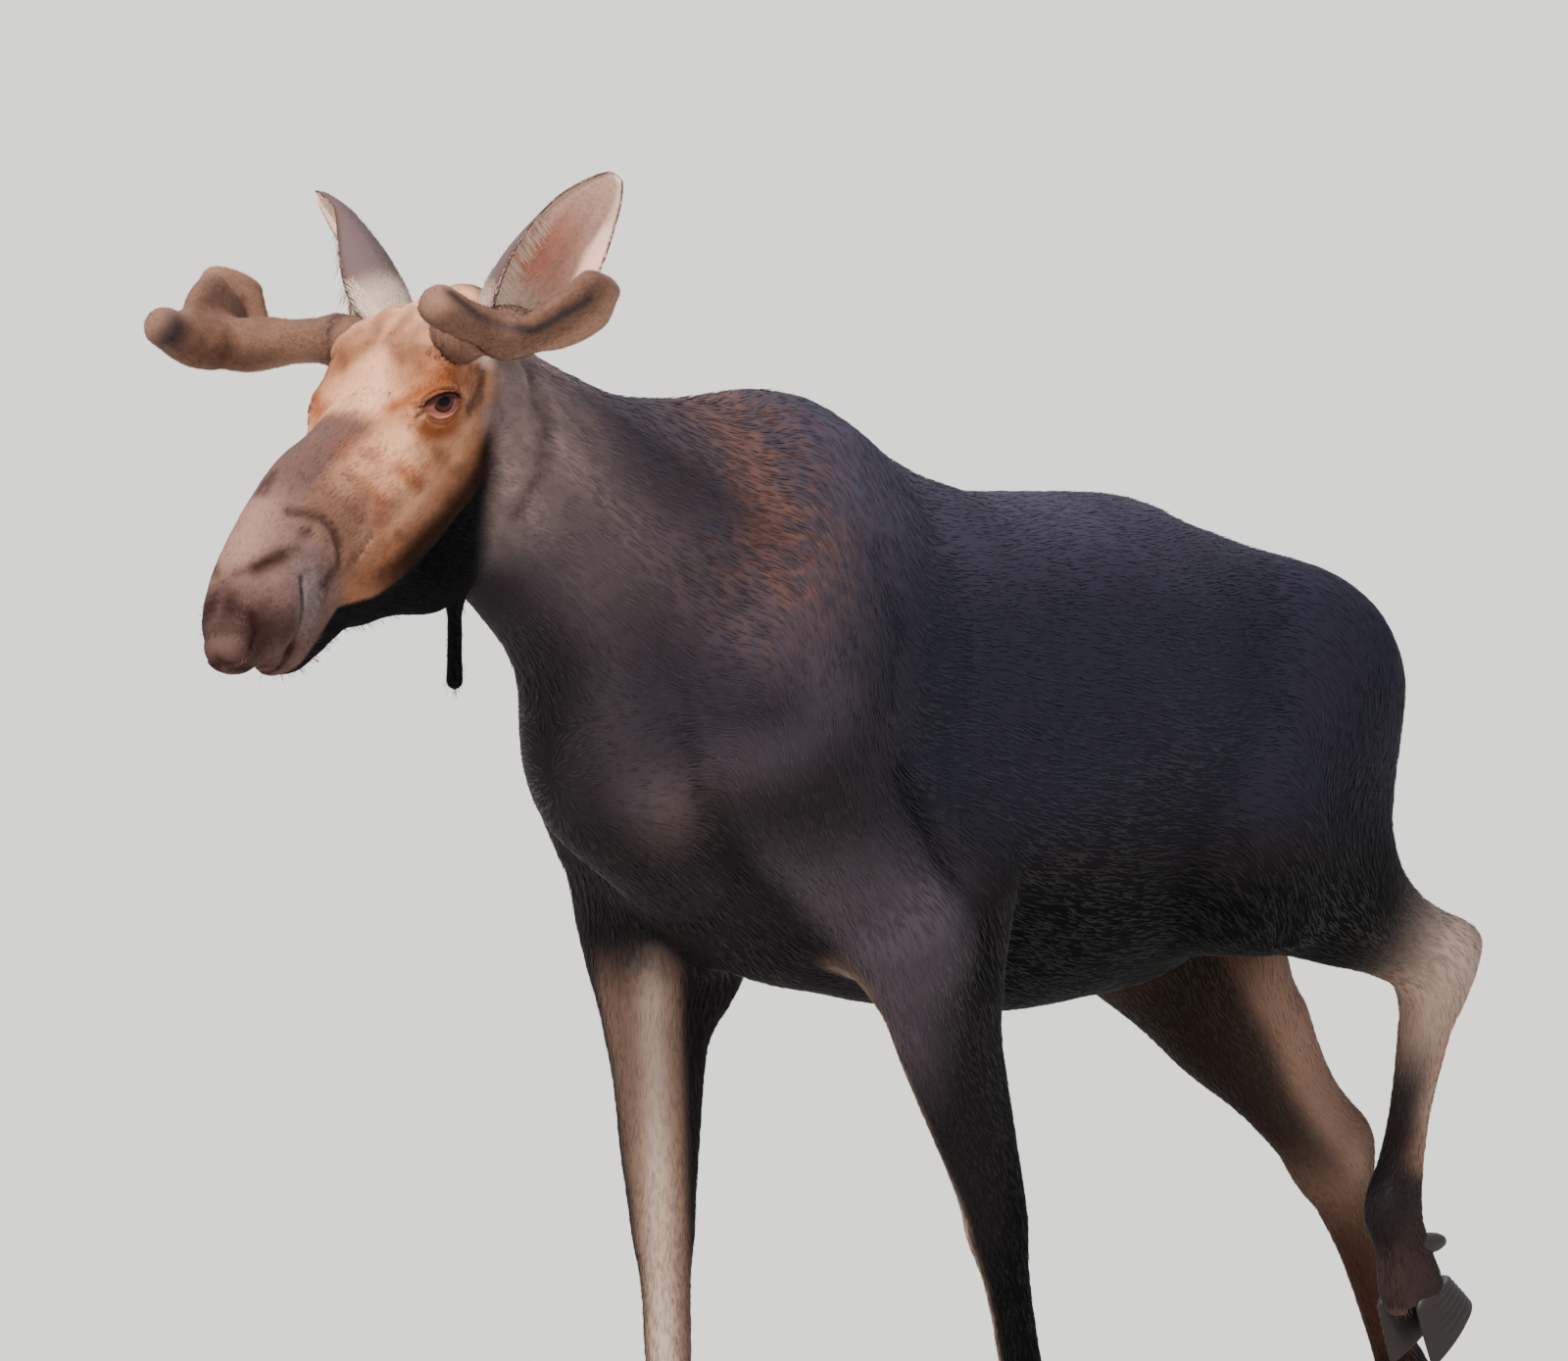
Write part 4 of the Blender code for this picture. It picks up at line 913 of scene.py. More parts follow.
def face_colour(points, local, fine):
    """The colour of the face, with its marks, painted highlights and painted shade."""
    forward = local[:, 1]
    up = local[:, 2]
    soft = lumps(points, 0.03, 14)
    blotches = lumps(points, (0.016, 0.022, 0.022), 15)
    brow = near_line(local, mm((40, -75, 47), (85, -30, 40)), 0.02)
    line = np.interp(forward, *CHIN_EDGE[:, 1:].T)
    shaded = fade(up - line, 0.08, 0.02) * fade(forward, 0.3, 0.2) * (1 + 0.4 * (fine - 0.5))
    layers = [
        (PALE, 0.45 * fade(soft, 0.3, 0.8) + 0.3 * (fine - 0.5)),
        (BROWN, 0.4 * fade(blotches, 0.5, 0.85)),
        # Painted highlights in front of the eye and on the forehead.
        (PALE, 0.9 * near_line(local, mm((98, 60, -10), (88, 90, -20)), 0.022)),
        (PALE, 0.9 * near_line(local, mm((10, -40, 48), (40, 30, 36)), 0.028)),
        (ORANGE, 0.6 * near_spot(local, (0.108, -0.01, -0.018), (0.05, 0.056, 0.056))),
        (BROWN, 0.45 * brow * (0.5 + soft)),
        (MAUVE, fade(up - 0.25 * forward, -0.01, 0.015) * fade(forward, 0.035, 0.08) * 0.95),
        (MAUVE, 0.7 * fade(forward, 0.1, 0.2) * fade(up, -0.1, -0.02)),
        (MUZZLE, fade(forward + 0.35 * up, 0.21, 0.29) * 0.9),
        (NOSE_TOP, 0.8 * near_line(local, mm((10, 270, 85), (12, 340, 70)), 0.045)),
        (BROWN, 0.85 * shaded),
        # Painted shadow along the lower edge of the jaw.
        (SHADOW_BROWN, fade(up - line, 0.052, 0.018) * fade(forward, 0.26, 0.16)),
        (DARK_MUZZLE_AND_SHADE, 0.6 * near_spot(local, (0.035, 0.43, -0.03), (0.035, 0.045, 0.04))),
        (DARK_MUZZLE_AND_SHADE, 0.5 * fade(forward + 0.3 * up, 0.335, 0.41) * (0.6 + 0.8 * soft)),
        (MAUVE, 0.75 * fade(forward, 0.26, 0.32) * fade(up, 0.035, -0.02)),
    ]
    for colour, places, width, share in FACE_MARKS:
        layers.append((colour, share * near_line(local, places, width) * (0.75 + 0.5 * fine)))
    # Black of the throat and under the jaw, partly painted shade under the jaw.
    layers.append((CHIN, fade(up - line, 0.003, -0.004)))
    return layered(np.tile(TAN, (len(points), 1)), layers)


def trunk_layers(points, fine, broad):
    """Layers of colour on the trunk, the shoulders and the neck, with painted light high on the trunk and
    painted shade in creases and under the belly.
    """
    x, y, z = points.T
    front = fade(y, 0.08, -0.16) * fade(z, 0.95, 1.08)
    arm = fade(y, 0.2, 0.06) * fade(z, 1.15, 1.0) * fade(x, 0.12, 0.18)
    # Painted shade along the triceps edge and in the chest crease.
    crease_shade = 0.5 * near_line(points, TRICEPS_EDGE, 0.035) + 0.4 * near_line(points, CHEST_CREASE, 0.025)
    shoulder = near_spot(points, (0.12, -0.2, 1.56), (0.3, 0.22, 0.22))
    hump = near_line(points, mm((50, -100, 1680), (140, -140, 1570), (170, -150, 1500)), 0.09)
    neck = fade(y, -0.36, -0.56) * fade(z - 0.55 * (y + 0.6), 1.42, 1.6) * fade(np.abs(x), 0.03, 0.07)
    return [
        # Painted light: a bluish sheen high on the trunk and a lighter top of the back.
        (SHEEN_BLUE_BLACK, fade(z, 1.0, 1.18) * (0.8 + 0.5 * broad)),
        (TOP_LIGHT_SLATE, fade(z, 1.36, 1.58) * (0.55 + 0.5 * broad)),
        (SMOKE, front * (0.65 + 0.5 * broad)),
        (BLACK, 0.8 * front * fade(z - 0.5 * (y + 0.4), 1.16, 1.05)),
        (BLACK, 0.7 * front * fade(np.abs(x), 0.1, 0.04) * fade(z, 1.56, 1.46)),
        (BLACK, 0.5 * near_spot(points, (0.08, -0.4, 1.2), (0.12, 0.1, 0.14))),
        # A painted highlight on the point of the chest.
        (NECK_GREY, 0.22 * near_spot(points, CHEST_POINT, (0.06, 0.06, 0.06))),
        (NECK_GREY, 0.3 * near_spot(points, (0.13, -0.45, 1.52), (0.08, 0.1, 0.12))),
        (SMOKE * 1.25, arm * fade(z, 0.56, 0.74)),
        # Painted shade under the belly.
        (SHADE_BLACK, fade(z, 1.06, 0.95) * fade(y, 0.24, 0.34) * fade(x, -0.02, 0.04)),
        (SHADE_BLACK, crease_shade),
        (UMBER, shoulder * fade(fine, 0.4, 0.75) * 0.7),
        (RUST, 0.85 * hump * fade(fine + 0.5 * (broad - 0.5), 0.28, 0.68)),
        (NECK_GREY, neck * (0.6 + 0.7 * (fine - 0.3))),
    ]


def leg_layers(points):
    """Layers of colour on the legs: pale hocks and inner faces, dark fronts and feet, painted light down
    the far hind leg and painted shade along its front.
    """
    x, y, z = points.T
    hock = near_spot(points, (0.18, 1.26, 0.86), (0.1, 0.12, 0.1))
    low_hind = fade(y, 0.9, 1.0) * fade(z, 0.86, 0.74)
    front_stripe = low_hind * fade(x, 0.0, 0.05) * fade(y - 1.2 + 0.28 * (0.7 - z), 0.03, -0.01)
    far_hind = fade(x, 0.03, -0.02) * fade(y, 0.86, 0.98) * fade(z, 1.0, 0.84)
    lit = near_line(points, mm((-60, 1180, 800), (-76, 1270, 690), (-74, 1350, 550)), 0.085)
    ahead = 0.72 * (1.2 - y) + 0.69 * (0.72 - z)
    layers = [
        (SHANK, 0.9 * low_hind),
        (GREY_TAN, 0.95 * hock),
        (GREY_TAN, 0.6 * near_line(points, mm((200, 1215, 800), (188, 1190, 660)), 0.03)),
        (BLACK, 0.9 * front_stripe * fade(z, 0.78, 0.66)),
        (GASKIN_BROWN, far_hind),
        # Painted light down the far hind leg, and painted shade along its front.
        (SHANK, 0.95 * far_hind * lit),
        (SHADE_BLACK, 0.75 * far_hind * fade(ahead, -0.01, 0.035) * fade(z, 0.45, 0.6)),
    ]
    for side, sign in SIDES:
        across, behind = beside_leg(points, FORELEG_JOINTS[side])
        inward = -sign * across
        start = 0.005 + 0.03 * (sign > 0)
        inner = fade(z, 0.96, 0.84) * fade(inward, start - 0.035, start) * fade(inward, 0.1, 0.08)
        inner = inner * fade(sign * x, 0.0, 0.02) * fade(np.abs(behind), 0.16, 0.12)
        turned = 0.74 * inward + 0.67 * behind
        layers += [(SHANK * 0.75, inner * fade(turned, 0.045, 0.025)),
                   (CREAM, 0.45 * inner * np.exp(-((turned + 0.004) / 0.022) ** 2))]
    return layers + [(BLACK, 0.9 * fade(near_feet(points), 0.1, 0.5))]


def coat_colour(points):
    """The colour of the coat and of the skin under it at each point."""
    local = in_head(points)
    fine = 0.6 * lumps(points, 0.01, 7) + 0.4 * lumps(points, 0.004, 10)
    broad = lumps(points, 0.1, 8)
    black = np.tile(BLACK, (len(points), 1))
    colours = layered(black, trunk_layers(points, fine, broad) + leg_layers(points))
    head = fade(local[:, 1] + 0.9 * local[:, 2], -0.195, -0.15)
    crown = near_spot(local, (0.02, -0.15, 0.0), (0.1, 0.07, 0.05))
    head = np.maximum(head, fade(crown, 0.15, 0.5)) * fade(points[:, 1], -0.52, -0.56)
    face = layered(face_colour(points, local, fine), [
        (PALE, crown * 0.9),
        (CREAM, crown * 0.2 * fade(local[:, 0], 0.02, 0.07)),
    ])
    colours = between(colours, face, head[:, None])
    ear_root = near_spot(local, (0.08, -0.14, -0.03), (0.046, 0.05, 0.06))
    edge, _, above = in_slit(points)
    return layered(colours, [
        (CREAM, fade(ear_root, 0.3, 0.7) * head),
        (CREAM, 0.85 * near_line(local, NECK_LINE, 0.005)),
        # Painted shade in the fold of the neck.
        (BLACK, 0.4 * near_line(local, NECK_FOLD, 0.016)),
        # Dark band of the upper lid: its dark edge and painted shadow.
        (CHIN, 0.95 * fade(edge, 0.0065, 0.004) * fade(above, -0.002, 0.004)),
        (BROWN, 0.7 * fade(edge, 0.006, 0.003) * fade(above, 0.004, -0.004)),
        (PINK, fade(edge, 0.0012, 0.0002) * (0.2 + 0.8 * fade(above, 0.004, -0.004))),
    ])


# ---- materials
def principled(name, colour=None, roughness=0.6, **sockets):
    """A Principled material, coloured by the coat attribute when no colour is given."""
    made = bpy.data.materials.new(name)
    made.use_nodes = True
    nodes = made.node_tree.nodes
    shader = nodes["Principled BSDF"]
    shader.inputs["Roughness"].default_value = roughness
    for socket, value in sockets.items():
        shader.inputs[socket.replace("_", " ")].default_value = value
    if colour is not None:
        shader.inputs["Base Color"].default_value = (*colour, 1)
    else:
        source = nodes.new("ShaderNodeAttribute")
        source.attribute_name = "coat"
        made.node_tree.links.new(source.outputs["Color"], shader.inputs["Base Color"])
    return made


def add_bump(material, scale, depth, stretch=(1, 1, 1), strength=0.6):
    """Give a material fine procedural bump; scale in lumps per metre, depth in metres."""
    tree = material.node_tree
    place = tree.nodes.new("ShaderNodeTexCoord")
    mapping = tree.nodes.new("ShaderNodeMapping")
    mapping.inputs["Scale"].default_value = stretch
    noise = tree.nodes.new("ShaderNodeTexNoise")
    noise.inputs["Scale"].default_value = scale
    noise.inputs["Detail"].default_value = 4
    bump = tree.nodes.new("ShaderNodeBump")
    bump.inputs["Strength"].default_value = strength
    bump.inputs["Distance"].default_value = depth
    tree.links.new(place.outputs["Object"], mapping.inputs["Vector"])
    tree.links.new(mapping.outputs["Vector"], noise.inputs["Vector"])
    tree.links.new(noise.outputs["Fac"], bump.inputs["Height"])
    tree.links.new(bump.outputs["Normal"], tree.nodes["Principled BSDF"].inputs["Normal"])


def dress(obj, material):
    """Give an object one material and smooth shading."""
    obj.data.materials.clear()
    obj.data.materials.append(material)
    obj.data.shade_smooth()


SKIN = principled("skin", roughness=0.8, Specular_IOR_Level=0.15)
add_bump(SKIN, 260, 0.0012)
COAT = principled("coat", roughness=0.55, Specular_IOR_Level=0.3)
HORN = principled("hoof_horn", colour=paint(44, 38, 36), roughness=0.5)
add_bump(HORN, 120, 0.001, stretch=(1, 1, 0.25))
EYE = principled("eye_gloss", roughness=0.05, Specular_IOR_Level=0.25)


# ---- skin
def calm_pits(skin, vertices):
    """Draw body vertices that stand out from their neighbours back among them."""
    ends = np.empty(2 * len(skin.data.edges), np.int64)
    skin.data.edges.foreach_get("vertices", ends)
    first, second = ends.reshape(-1, 2).T
    count = np.bincount(ends, minlength=len(vertices))[:, None]
    body = (head_share(vertices) < 0.05) & (vertices[:, 2] > 0.9)
    for _ in range(PIT_ROUNDS):
        mean = np.zeros_like(vertices)
        np.add.at(mean, first, vertices[second])
        np.add.at(mean, second, vertices[first])
        mean /= count
        loose = body & (np.linalg.norm(mean - vertices, axis=1) > PIT_DEPTH)
        ring = loose.copy()
        ring[first[loose[second]]] = True
        ring[second[loose[first]]] = True
        vertices = np.where((ring & body)[:, None], mean, vertices)
    return vertices


def make_skin(forms):
    """The one skin of body, legs and head, in quads that get finer toward the face."""
    skin = raw_melt("skin", FLESH, SKIN_VOXEL)
    write_vertices(skin, settle(read_vertices(skin), forms, 0.0, rounds=3))
    refine(skin, lambda p: head_share(p) > 0.3)
    refine(skin, lambda p: (head_share(p) > 0.5) & (in_head(p)[:, 1] > 0.24))
    for near in (0.03, 0.01, 0.004):
        refine(skin, lambda p: np.abs(in_slit(p)[0]) < near)
    rest = follow_lids(read_vertices(skin))
    settled = settle(rest, forms, skin_level(rest), rounds=3)
    write_vertices(skin, open_lids(calm_pits(skin, settled)))
    dress(skin, SKIN)
    set_colours(skin, coat_colour(read_vertices(skin)))
    return skin


SKIN_NODES = ["trunk", "neck", "head", "tail", "bell"]
for side, _ in SIDES:
    SKIN_NODES += [f"foreleg_{side}_{part}" for part in ("forearm", "cannon", "pastern")]
    SKIN_NODES += [f"hindleg_{side}_{part}" for part in ("gaskin", "cannon", "pastern")]
FLESH = all_forms()
MELTED = FLESH + [Ball(1), Ball(-1)]
skin = make_skin(MELTED)
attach(skin, "root")
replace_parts(skin, *SKIN_NODES)


# ---- feet
def foot_frame(joints):
    """Where a foot stands: its middle on the ground and its turn about X."""
    coronet = Vector(joints["coronet"])
    if coronet.z < 0.2:
        return Matrix.Translation((coronet.x, coronet.y, 0))
    pastern = coronet - Vector(joints["fetlock"])
    turn = math.atan2(pastern.y, -pastern.z) + math.radians(24)
    rotation = Matrix.Rotation(turn, 4, "X")
    return Matrix.Translation(coronet) @ rotation @ Matrix.Translation((0, 0, -0.092))


def coronet_height(y):
    """Height of the top of the hoof: high at the toe and low at the heel."""
    return HOOF_HEIGHT - math.tan(CORONET_SLOPE) * y


def loft(name, rings, material):
    """A smooth closed solid through rings, riding on the animal."""
    obj = make_object(name, *ring_solid(rings))
    face_outward(obj)
    dress(obj, material)
    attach(obj, "root")
    return obj


def hoof(name, foot, side):
    """One of the two hooves of a foot: a long wedge with growth rings and a pointed toe."""
    rings = []
    points = 40
    levels = [(0.0, 0.9), (0.0, 0.985), (0.02, 1.0)]
    levels += [(level, 1.0) for level in np.linspace(0.06, 0.9, 24)]
    levels += [(0.94, 0.985), (0.97, 0.94), (0.99, 0.87), (1.0, 0.76)]
    for level, shrink in levels:
        ripple = 0.0005 * math.sin(level * 44) * fade(level, 0.1, 0.3)
        toe = HOOF_TOE * (1 - level) + 0.046 * level + ripple
        heel = HOOF_HEEL * (1 - 0.12 * level) + ripple
        width = HOOF_HALF_WIDTH * (1 - 0.1 * level) + ripple
        ring = []
        for k in range(points):
            angle = 2 * math.pi * k / points
            along = math.cos(angle)
            y = -toe * along if along > 0 else -heel * along
            narrow = 1 - 0.45 * max(along, 0) ** 2
            x = side * (CLEFT / 2 + width + TOE_SPREAD * max(along, 0))
            x += shrink * width * narrow * math.sin(angle)
            ring.append(foot @ Vector((x, shrink * y, level * coronet_height(y))))
        rings.append(ring)
    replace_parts(loft(name, rings, HORN), name.removeprefix("fine_"))


def dewclaw(name, foot, side):
    """A small blunt claw low on the back of the pastern."""
    rings = []
    points = 16
    top = Vector((side * 0.02, 0.01, 0.152))
    end = Vector((side * 0.032, 0.066, 0.1))
    sections = ((0.0, 0.013), (0.25, 0.0155), (0.6, 0.0155), (0.8, 0.013), (0.93, 0.0085), (1.0, 0.003))
    for share, size in sections:
        centre = top.lerp(end, share)
        ring = []
        for k in range(points):
            angle = 2 * math.pi * k / points
            flat = 0.7 * size * math.sin(angle)
            ring.append(foot @ (centre + Vector((size * math.cos(angle), flat, flat))))
        rings.append(ring)
    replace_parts(loft(name, rings, HORN), name.removeprefix("fine_"))


def trim_feet(skin, feet):
    """Take away the skin deep inside the hooves."""
    with editing(skin) as mesh:
        gone = set()
        for foot in feet:
            back = foot.inverted()
            for vertex in mesh.verts:
                place = back @ vertex.co
                near = (vertex.co - foot.translation).length < FOOT_REACH
                if near and place.z < coronet_height(place.y) - SKIN_IN_HOOF:
                    gone.add(vertex)
        bmesh.ops.delete(mesh, geom=list(gone), context="VERTS")


FOOT_FRAMES = {}
for side, _ in SIDES:
    FOOT_FRAMES[f"foreleg_{side}"] = foot_frame(FORELEG_JOINTS[side])
    FOOT_FRAMES[f"hindleg_{side}"] = foot_frame(HINDLEG_JOINTS[side])
for label, foot in FOOT_FRAMES.items():
    for place, side in (("outer", 1), ("inner", -1)):
        outward = side if label.endswith("left") else -side
        hoof(f"fine_{label}_hoof_{place}", foot, outward)
        dewclaw(f"fine_{label}_dewclaw_{place}", foot, outward)
trim_feet(skin, FOOT_FRAMES.values())


# ---- eyes
def eye(side, sign):
    """An eyeball with a low cornea, a dark iris, an oval pupil and a red haw round it."""
    across, forward, up = EYE_PLACE
    middle = np.array(at_head(sign * across, forward, up))
    gaze = HEAD_TURN.T @ (GAZE * (sign, 1, 1))
    turn = TILT_COS * HEAD_TURN[1] + TILT_SIN * HEAD_TURN[2]
    right = unit(turn - gaze * (turn @ gaze))
    top = np.cross(gaze, right) * -sign
    rings = []
    colours = []
    rim = math.degrees(math.asin(IRIS / EYE_RADIUS))
    points = 64
    for polar in np.concatenate([np.linspace(1.5, 70, 46), np.linspace(74, 176, 18)]):
        angle = math.radians(polar)
        radius = EYE_RADIUS + CORNEA * fade(polar, 50, 22)
        ring = []
        for k in range(points):
            around = 2 * math.pi * k / points
            flat = math.cos(around) * right + math.sin(around) * top
            ring.append(middle + radius * (math.cos(angle) * gaze + math.sin(angle) * flat))
            oval = math.hypot(math.cos(around) / 1.45, math.sin(around)) * math.sin(angle)
            streak = 0.5 + 0.5 * math.sin(23 * around + 2.1 * math.sin(7 * around))
            iris = paint(84, 46, 32) * (0.75 + 0.5 * streak)
            colour = iris * fade(oval, 0.2, 0.27) + paint(8, 8, 14) * 0.2
            colour = colour * (1 - 0.6 * fade(polar, rim - 8, rim))
            haw = paint(190, 134, 128) * (1 - 0.35 * fade(polar, rim + 14, rim + 24))
            colours.append(between(colour, haw, fade(polar, rim - 1, rim + 2)))
        rings.append(ring)
    ball = loft(f"eyeball_{side}", rings, EYE)
    set_colours(ball, np.array(colours))
    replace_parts(ball, f"eye_{side}")


for side, sign in SIDES:
    eye(side, sign)


# ---- ears
def ear_frame(side, sign):
    """Root, axis, opening and breadth of an ear."""
    base = at_head(sign * EAR_ROOT[0], *EAR_ROOT[1:])
    axis = (at_head(*EARS[side]["tip"]) - base).normalized()
    opening = Vector(EARS[side]["opening"])
    opening = (opening - axis * opening.dot(axis)).normalized()
    return base, axis, opening, axis.cross(opening)


# The pale inside of an ear, made lighter still as painted light for sun shining through it.
EAR_INSIDE_PALE_AND_LIT = paint(252, 222, 206)
EAR_HEART = paint(206, 138, 122)
EAR_BAND = paint(196, 166, 150)
EAR_BACK = paint(112, 94, 94)


def ear(side, sign):
    """A leaf-shaped scoop with a rolled base, open to the side and front."""
    base, axis, opening, across = ear_frame(side, sign)
    rings = []
    colours = []
    for share in np.linspace(0.0, 1.0, 44):
        profile = math.sin(math.pi * (0.1 + 0.87 * share) ** 0.95) ** 0.62
        half_width = (EARS[side]["half_width"] - 0.001) * profile
        spread = math.radians(150 - 85 * min(1.0, share * 1.3))
        radius = half_width / math.sin(min(spread, math.pi / 2))
        middle = base + axis * (EAR_LENGTH * share) + opening * (0.4 * radius)
        ring = []
        for inner in (False, True):
            order = range(EAR_STEPS, -1, -1) if inner else range(EAR_STEPS + 1)
            for k in order:
                offset = 2 * k / EAR_STEPS - 1
                wall = min(EAR_WALL, 0.4 * radius) * (1 - 0.75 * abs(offset) ** 4)
                ridge = 0.0012 * math.sin(offset * 17 + 2.5 * share) * math.sin(math.pi * share)
                reach = radius - 0.0015 - (wall + ridge if inner else 0)
                angle = spread * offset
                ring.append(middle + across * (reach * math.sin(angle))
                            - opening * (reach * math.cos(angle)))
                upper = -offset * sign
                if inner:
                    colour = EAR_INSIDE_PALE_AND_LIT * 0.75 + EAR_HEART * 0.25
                    heart = 0.8 * math.exp(-(offset / 0.5) ** 2 - ((share - 0.45) / 0.35) ** 2)
                    colour = between(colour, EAR_HEART, heart)
                    colour = between(colour, EAR_BAND, fade(upper, 0.45, 0.75))
                else:
                    colour = EAR_BACK
                pale = fade(share, 0.34, 0.16) * (1.0 if inner else 0.5)
                colour = between(colour, CREAM, pale)
                colours.append(between(colour, UMBER, fade(abs(offset), 0.9, 0.98)))
        rings.append(ring)
    leaf = loft(f"ear_leaf_{side}", rings, SKIN)
    set_colours(leaf, np.array(colours))
    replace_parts(leaf, f"ear_{side}")
    return leaf


ear_leaves = [ear(side, sign) for side, sign in SIDES]


# ---- antlers
# Rows of each palm's two lobes: across, forward, up, half width, thickness above and below.
FRONT_PALM = {
    "left": mm(
        (262, -50, 74, 32, 30, 30), (262, -26, 124, 30, 29, 29),
        (260, -10, 172, 31, 31, 31)),
    "right": mm(
        (262, -46, 76, 34, 34, 34), (260, -6, 126, 32, 34, 34),
        (258, 12, 180, 31, 30, 30)),
}
# The web of skin and bone that fills the right palm between its lobes.
WEB = mm(
    (262, -20, 126, 40, 17, 17), (290, -75, 106, 46, 18, 18),
    (322, -125, 78, 46, 19, 19))
REAR_PALM = {
    "left": mm(
        (230, -80, 46, 34, 24, 26), (292, -80, 36, 60, 23, 26),
        (346, -112, 36, 70, 22, 23), (370, -148, 46, 54, 20, 20)),
    "right": mm(
        (230, -80, 46, 34, 24, 26), (290, -80, 36, 60, 23, 27),
        (334, -116, 46, 72, 22, 22), (350, -172, 62, 48, 21, 21)),
}

VELVET = principled("velvet", roughness=0.8)
add_bump(VELVET, 300, 0.0012)
VELVET_BROWN = paint(110, 80, 66)
VELVET_PALE = paint(142, 110, 94)
VELVET_WORN = paint(46, 37, 40)
# Where the velvet is worn smooth, in the head's frame.
WORN_LINE = mm((284, -22, 185), (292, -28, 131), (298, -43, 93), (330, -51, 70), (372, -79, 71),
               (387, -111, 61))
WORN_KNOB = mm((229, 15, 185), (238, 30, 178))
BURR = 0.108             # how far out the ring at the root of an antler lies


def worn_velvet(points):
    """One where the velvet is worn to a dark shine."""
    local = in_head(points)
    return np.maximum(near_line(local, WORN_LINE, 0.009), near_line(local, WORN_KNOB, 0.024))


def velvet_colour(points):
    """Brown velvet, darker where it is worn smooth on the rims, and lighter on the undersides where light
    from below is painted.
    """
    local = in_head(points)
    fine = 0.5 * lumps(points, 0.004, 9) + 0.5 * lumps(points, 0.012, 13)
    below = fade(local[:, 2], 0.05, 0.01) * fade(local[:, 0], 0.13, 0.17)
    burr = np.exp(-((local[:, 0] - BURR) / 0.011) ** 2)
    ends = fade(local[:, 2], 0.15, 0.19) + fade(local[:, 1], -0.12, -0.17)
    return layered(np.tile(VELVET_BROWN, (len(points), 1)), [
        (VELVET_PALE, 0.5 * fine),
        # Painted light from below on the undersides.
        (VELVET_PALE * 1.35, 0.9 * below),
        (VELVET_WORN, 0.8 * burr * fade(fine, 0.3, 0.6)),
        (VELVET_PALE * 1.2, 0.6 * ends),
        (VELVET_WORN, 0.9 * worn_velvet(points)),
    ])


def antler(side, sign):
    """An antler in velvet: a beam that ends in a palm drawn out to the front and rear."""
    beam = head_form(mm(
        (85, -92, 12, 32, 32, 32), (120, -96, 20, 34, 34, 34),
        (185, -87, 33, 33, 31, 33), (245, -74, 45, 36, 28, 33)), sign=sign, blend=0.04, lie=1)
    burr = head_form(mm(
        (108, -94, 18, 37, 37, 37), (120, -96, 20, 37, 37, 37)), sign=sign, blend=0.015, lie=1)
    front = head_form(FRONT_PALM[side], sign=sign, blend=0.04, lie=1)
    rear = head_form(REAR_PALM[side], sign=sign, blend=0.03, above=(-0.66 * sign, 0, 0.75), lie=1)
    forms = [beam, burr, front, rear]
    if side == "right":
        thin = -0.88 * HEAD_ACROSS + 0.48 * HEAD_FORWARD
        forms.append(head_form(WEB, sign=sign, blend=0.03, above=thin, lie=1))
    horn = raw_melt(f"antler_velvet_{side}", forms, ANTLER_VOXEL)
    write_vertices(horn, settle(read_vertices(horn), forms, 0.0, rounds=3))
    rest = read_vertices(horn)
    local = in_head(rest)
    grooves = lumps(local, (0.07, 0.014, 0.014), 4) - 0.5
    knobs = (lumps(local, 0.01, 6) - 0.45) * np.exp(-((local[:, 0] - BURR) / 0.013) ** 2)
    level = -0.003 + 0.0016 * grooves + 0.006 * knobs
    write_vertices(horn, settle(rest, forms, level, rounds=2))
    dress(horn, VELVET)
    set_colours(horn, velvet_colour(read_vertices(horn)))
    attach(horn, "root")
    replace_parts(horn, *[f"antler_{side}_{part}" for part in ("beam", "front_palm", "rear_palm")])
    return horn, forms


antlers = [antler(side, sign) for side, sign in SIDES]


# ---- tufts of the coat
def scatter(obj, density):
    """Places spread evenly over an object's faces, and the normals there."""
    obj.data.calc_loop_triangles()
    corners = np.empty(len(obj.data.loop_triangles) * 3, np.int32)
    obj.data.loop_triangles.foreach_get("vertices", corners)
    corners = corners.reshape(-1, 3)
    places = read_vertices(obj)
    normals = read_vertices(obj, "normal")
    triangle = places[corners]
    cross = np.cross(triangle[:, 1] - triangle[:, 0], triangle[:, 2] - triangle[:, 0])
    area = 0.5 * np.linalg.norm(cross, axis=1)
    wanted = area * density(triangle.mean(axis=1))
    picked = np.repeat(np.arange(len(corners)), rng.poisson(wanted))
    first = np.sqrt(rng.random(len(picked)))
    second = rng.random(len(picked))
    shares = np.stack([1 - first, first * (1 - second), first * second], axis=1)
    spots = (triangle[picked] * shares[:, :, None]).sum(1)
    facing = unit((normals[corners[picked]] * shares[:, :, None]).sum(1))
    return spots, facing


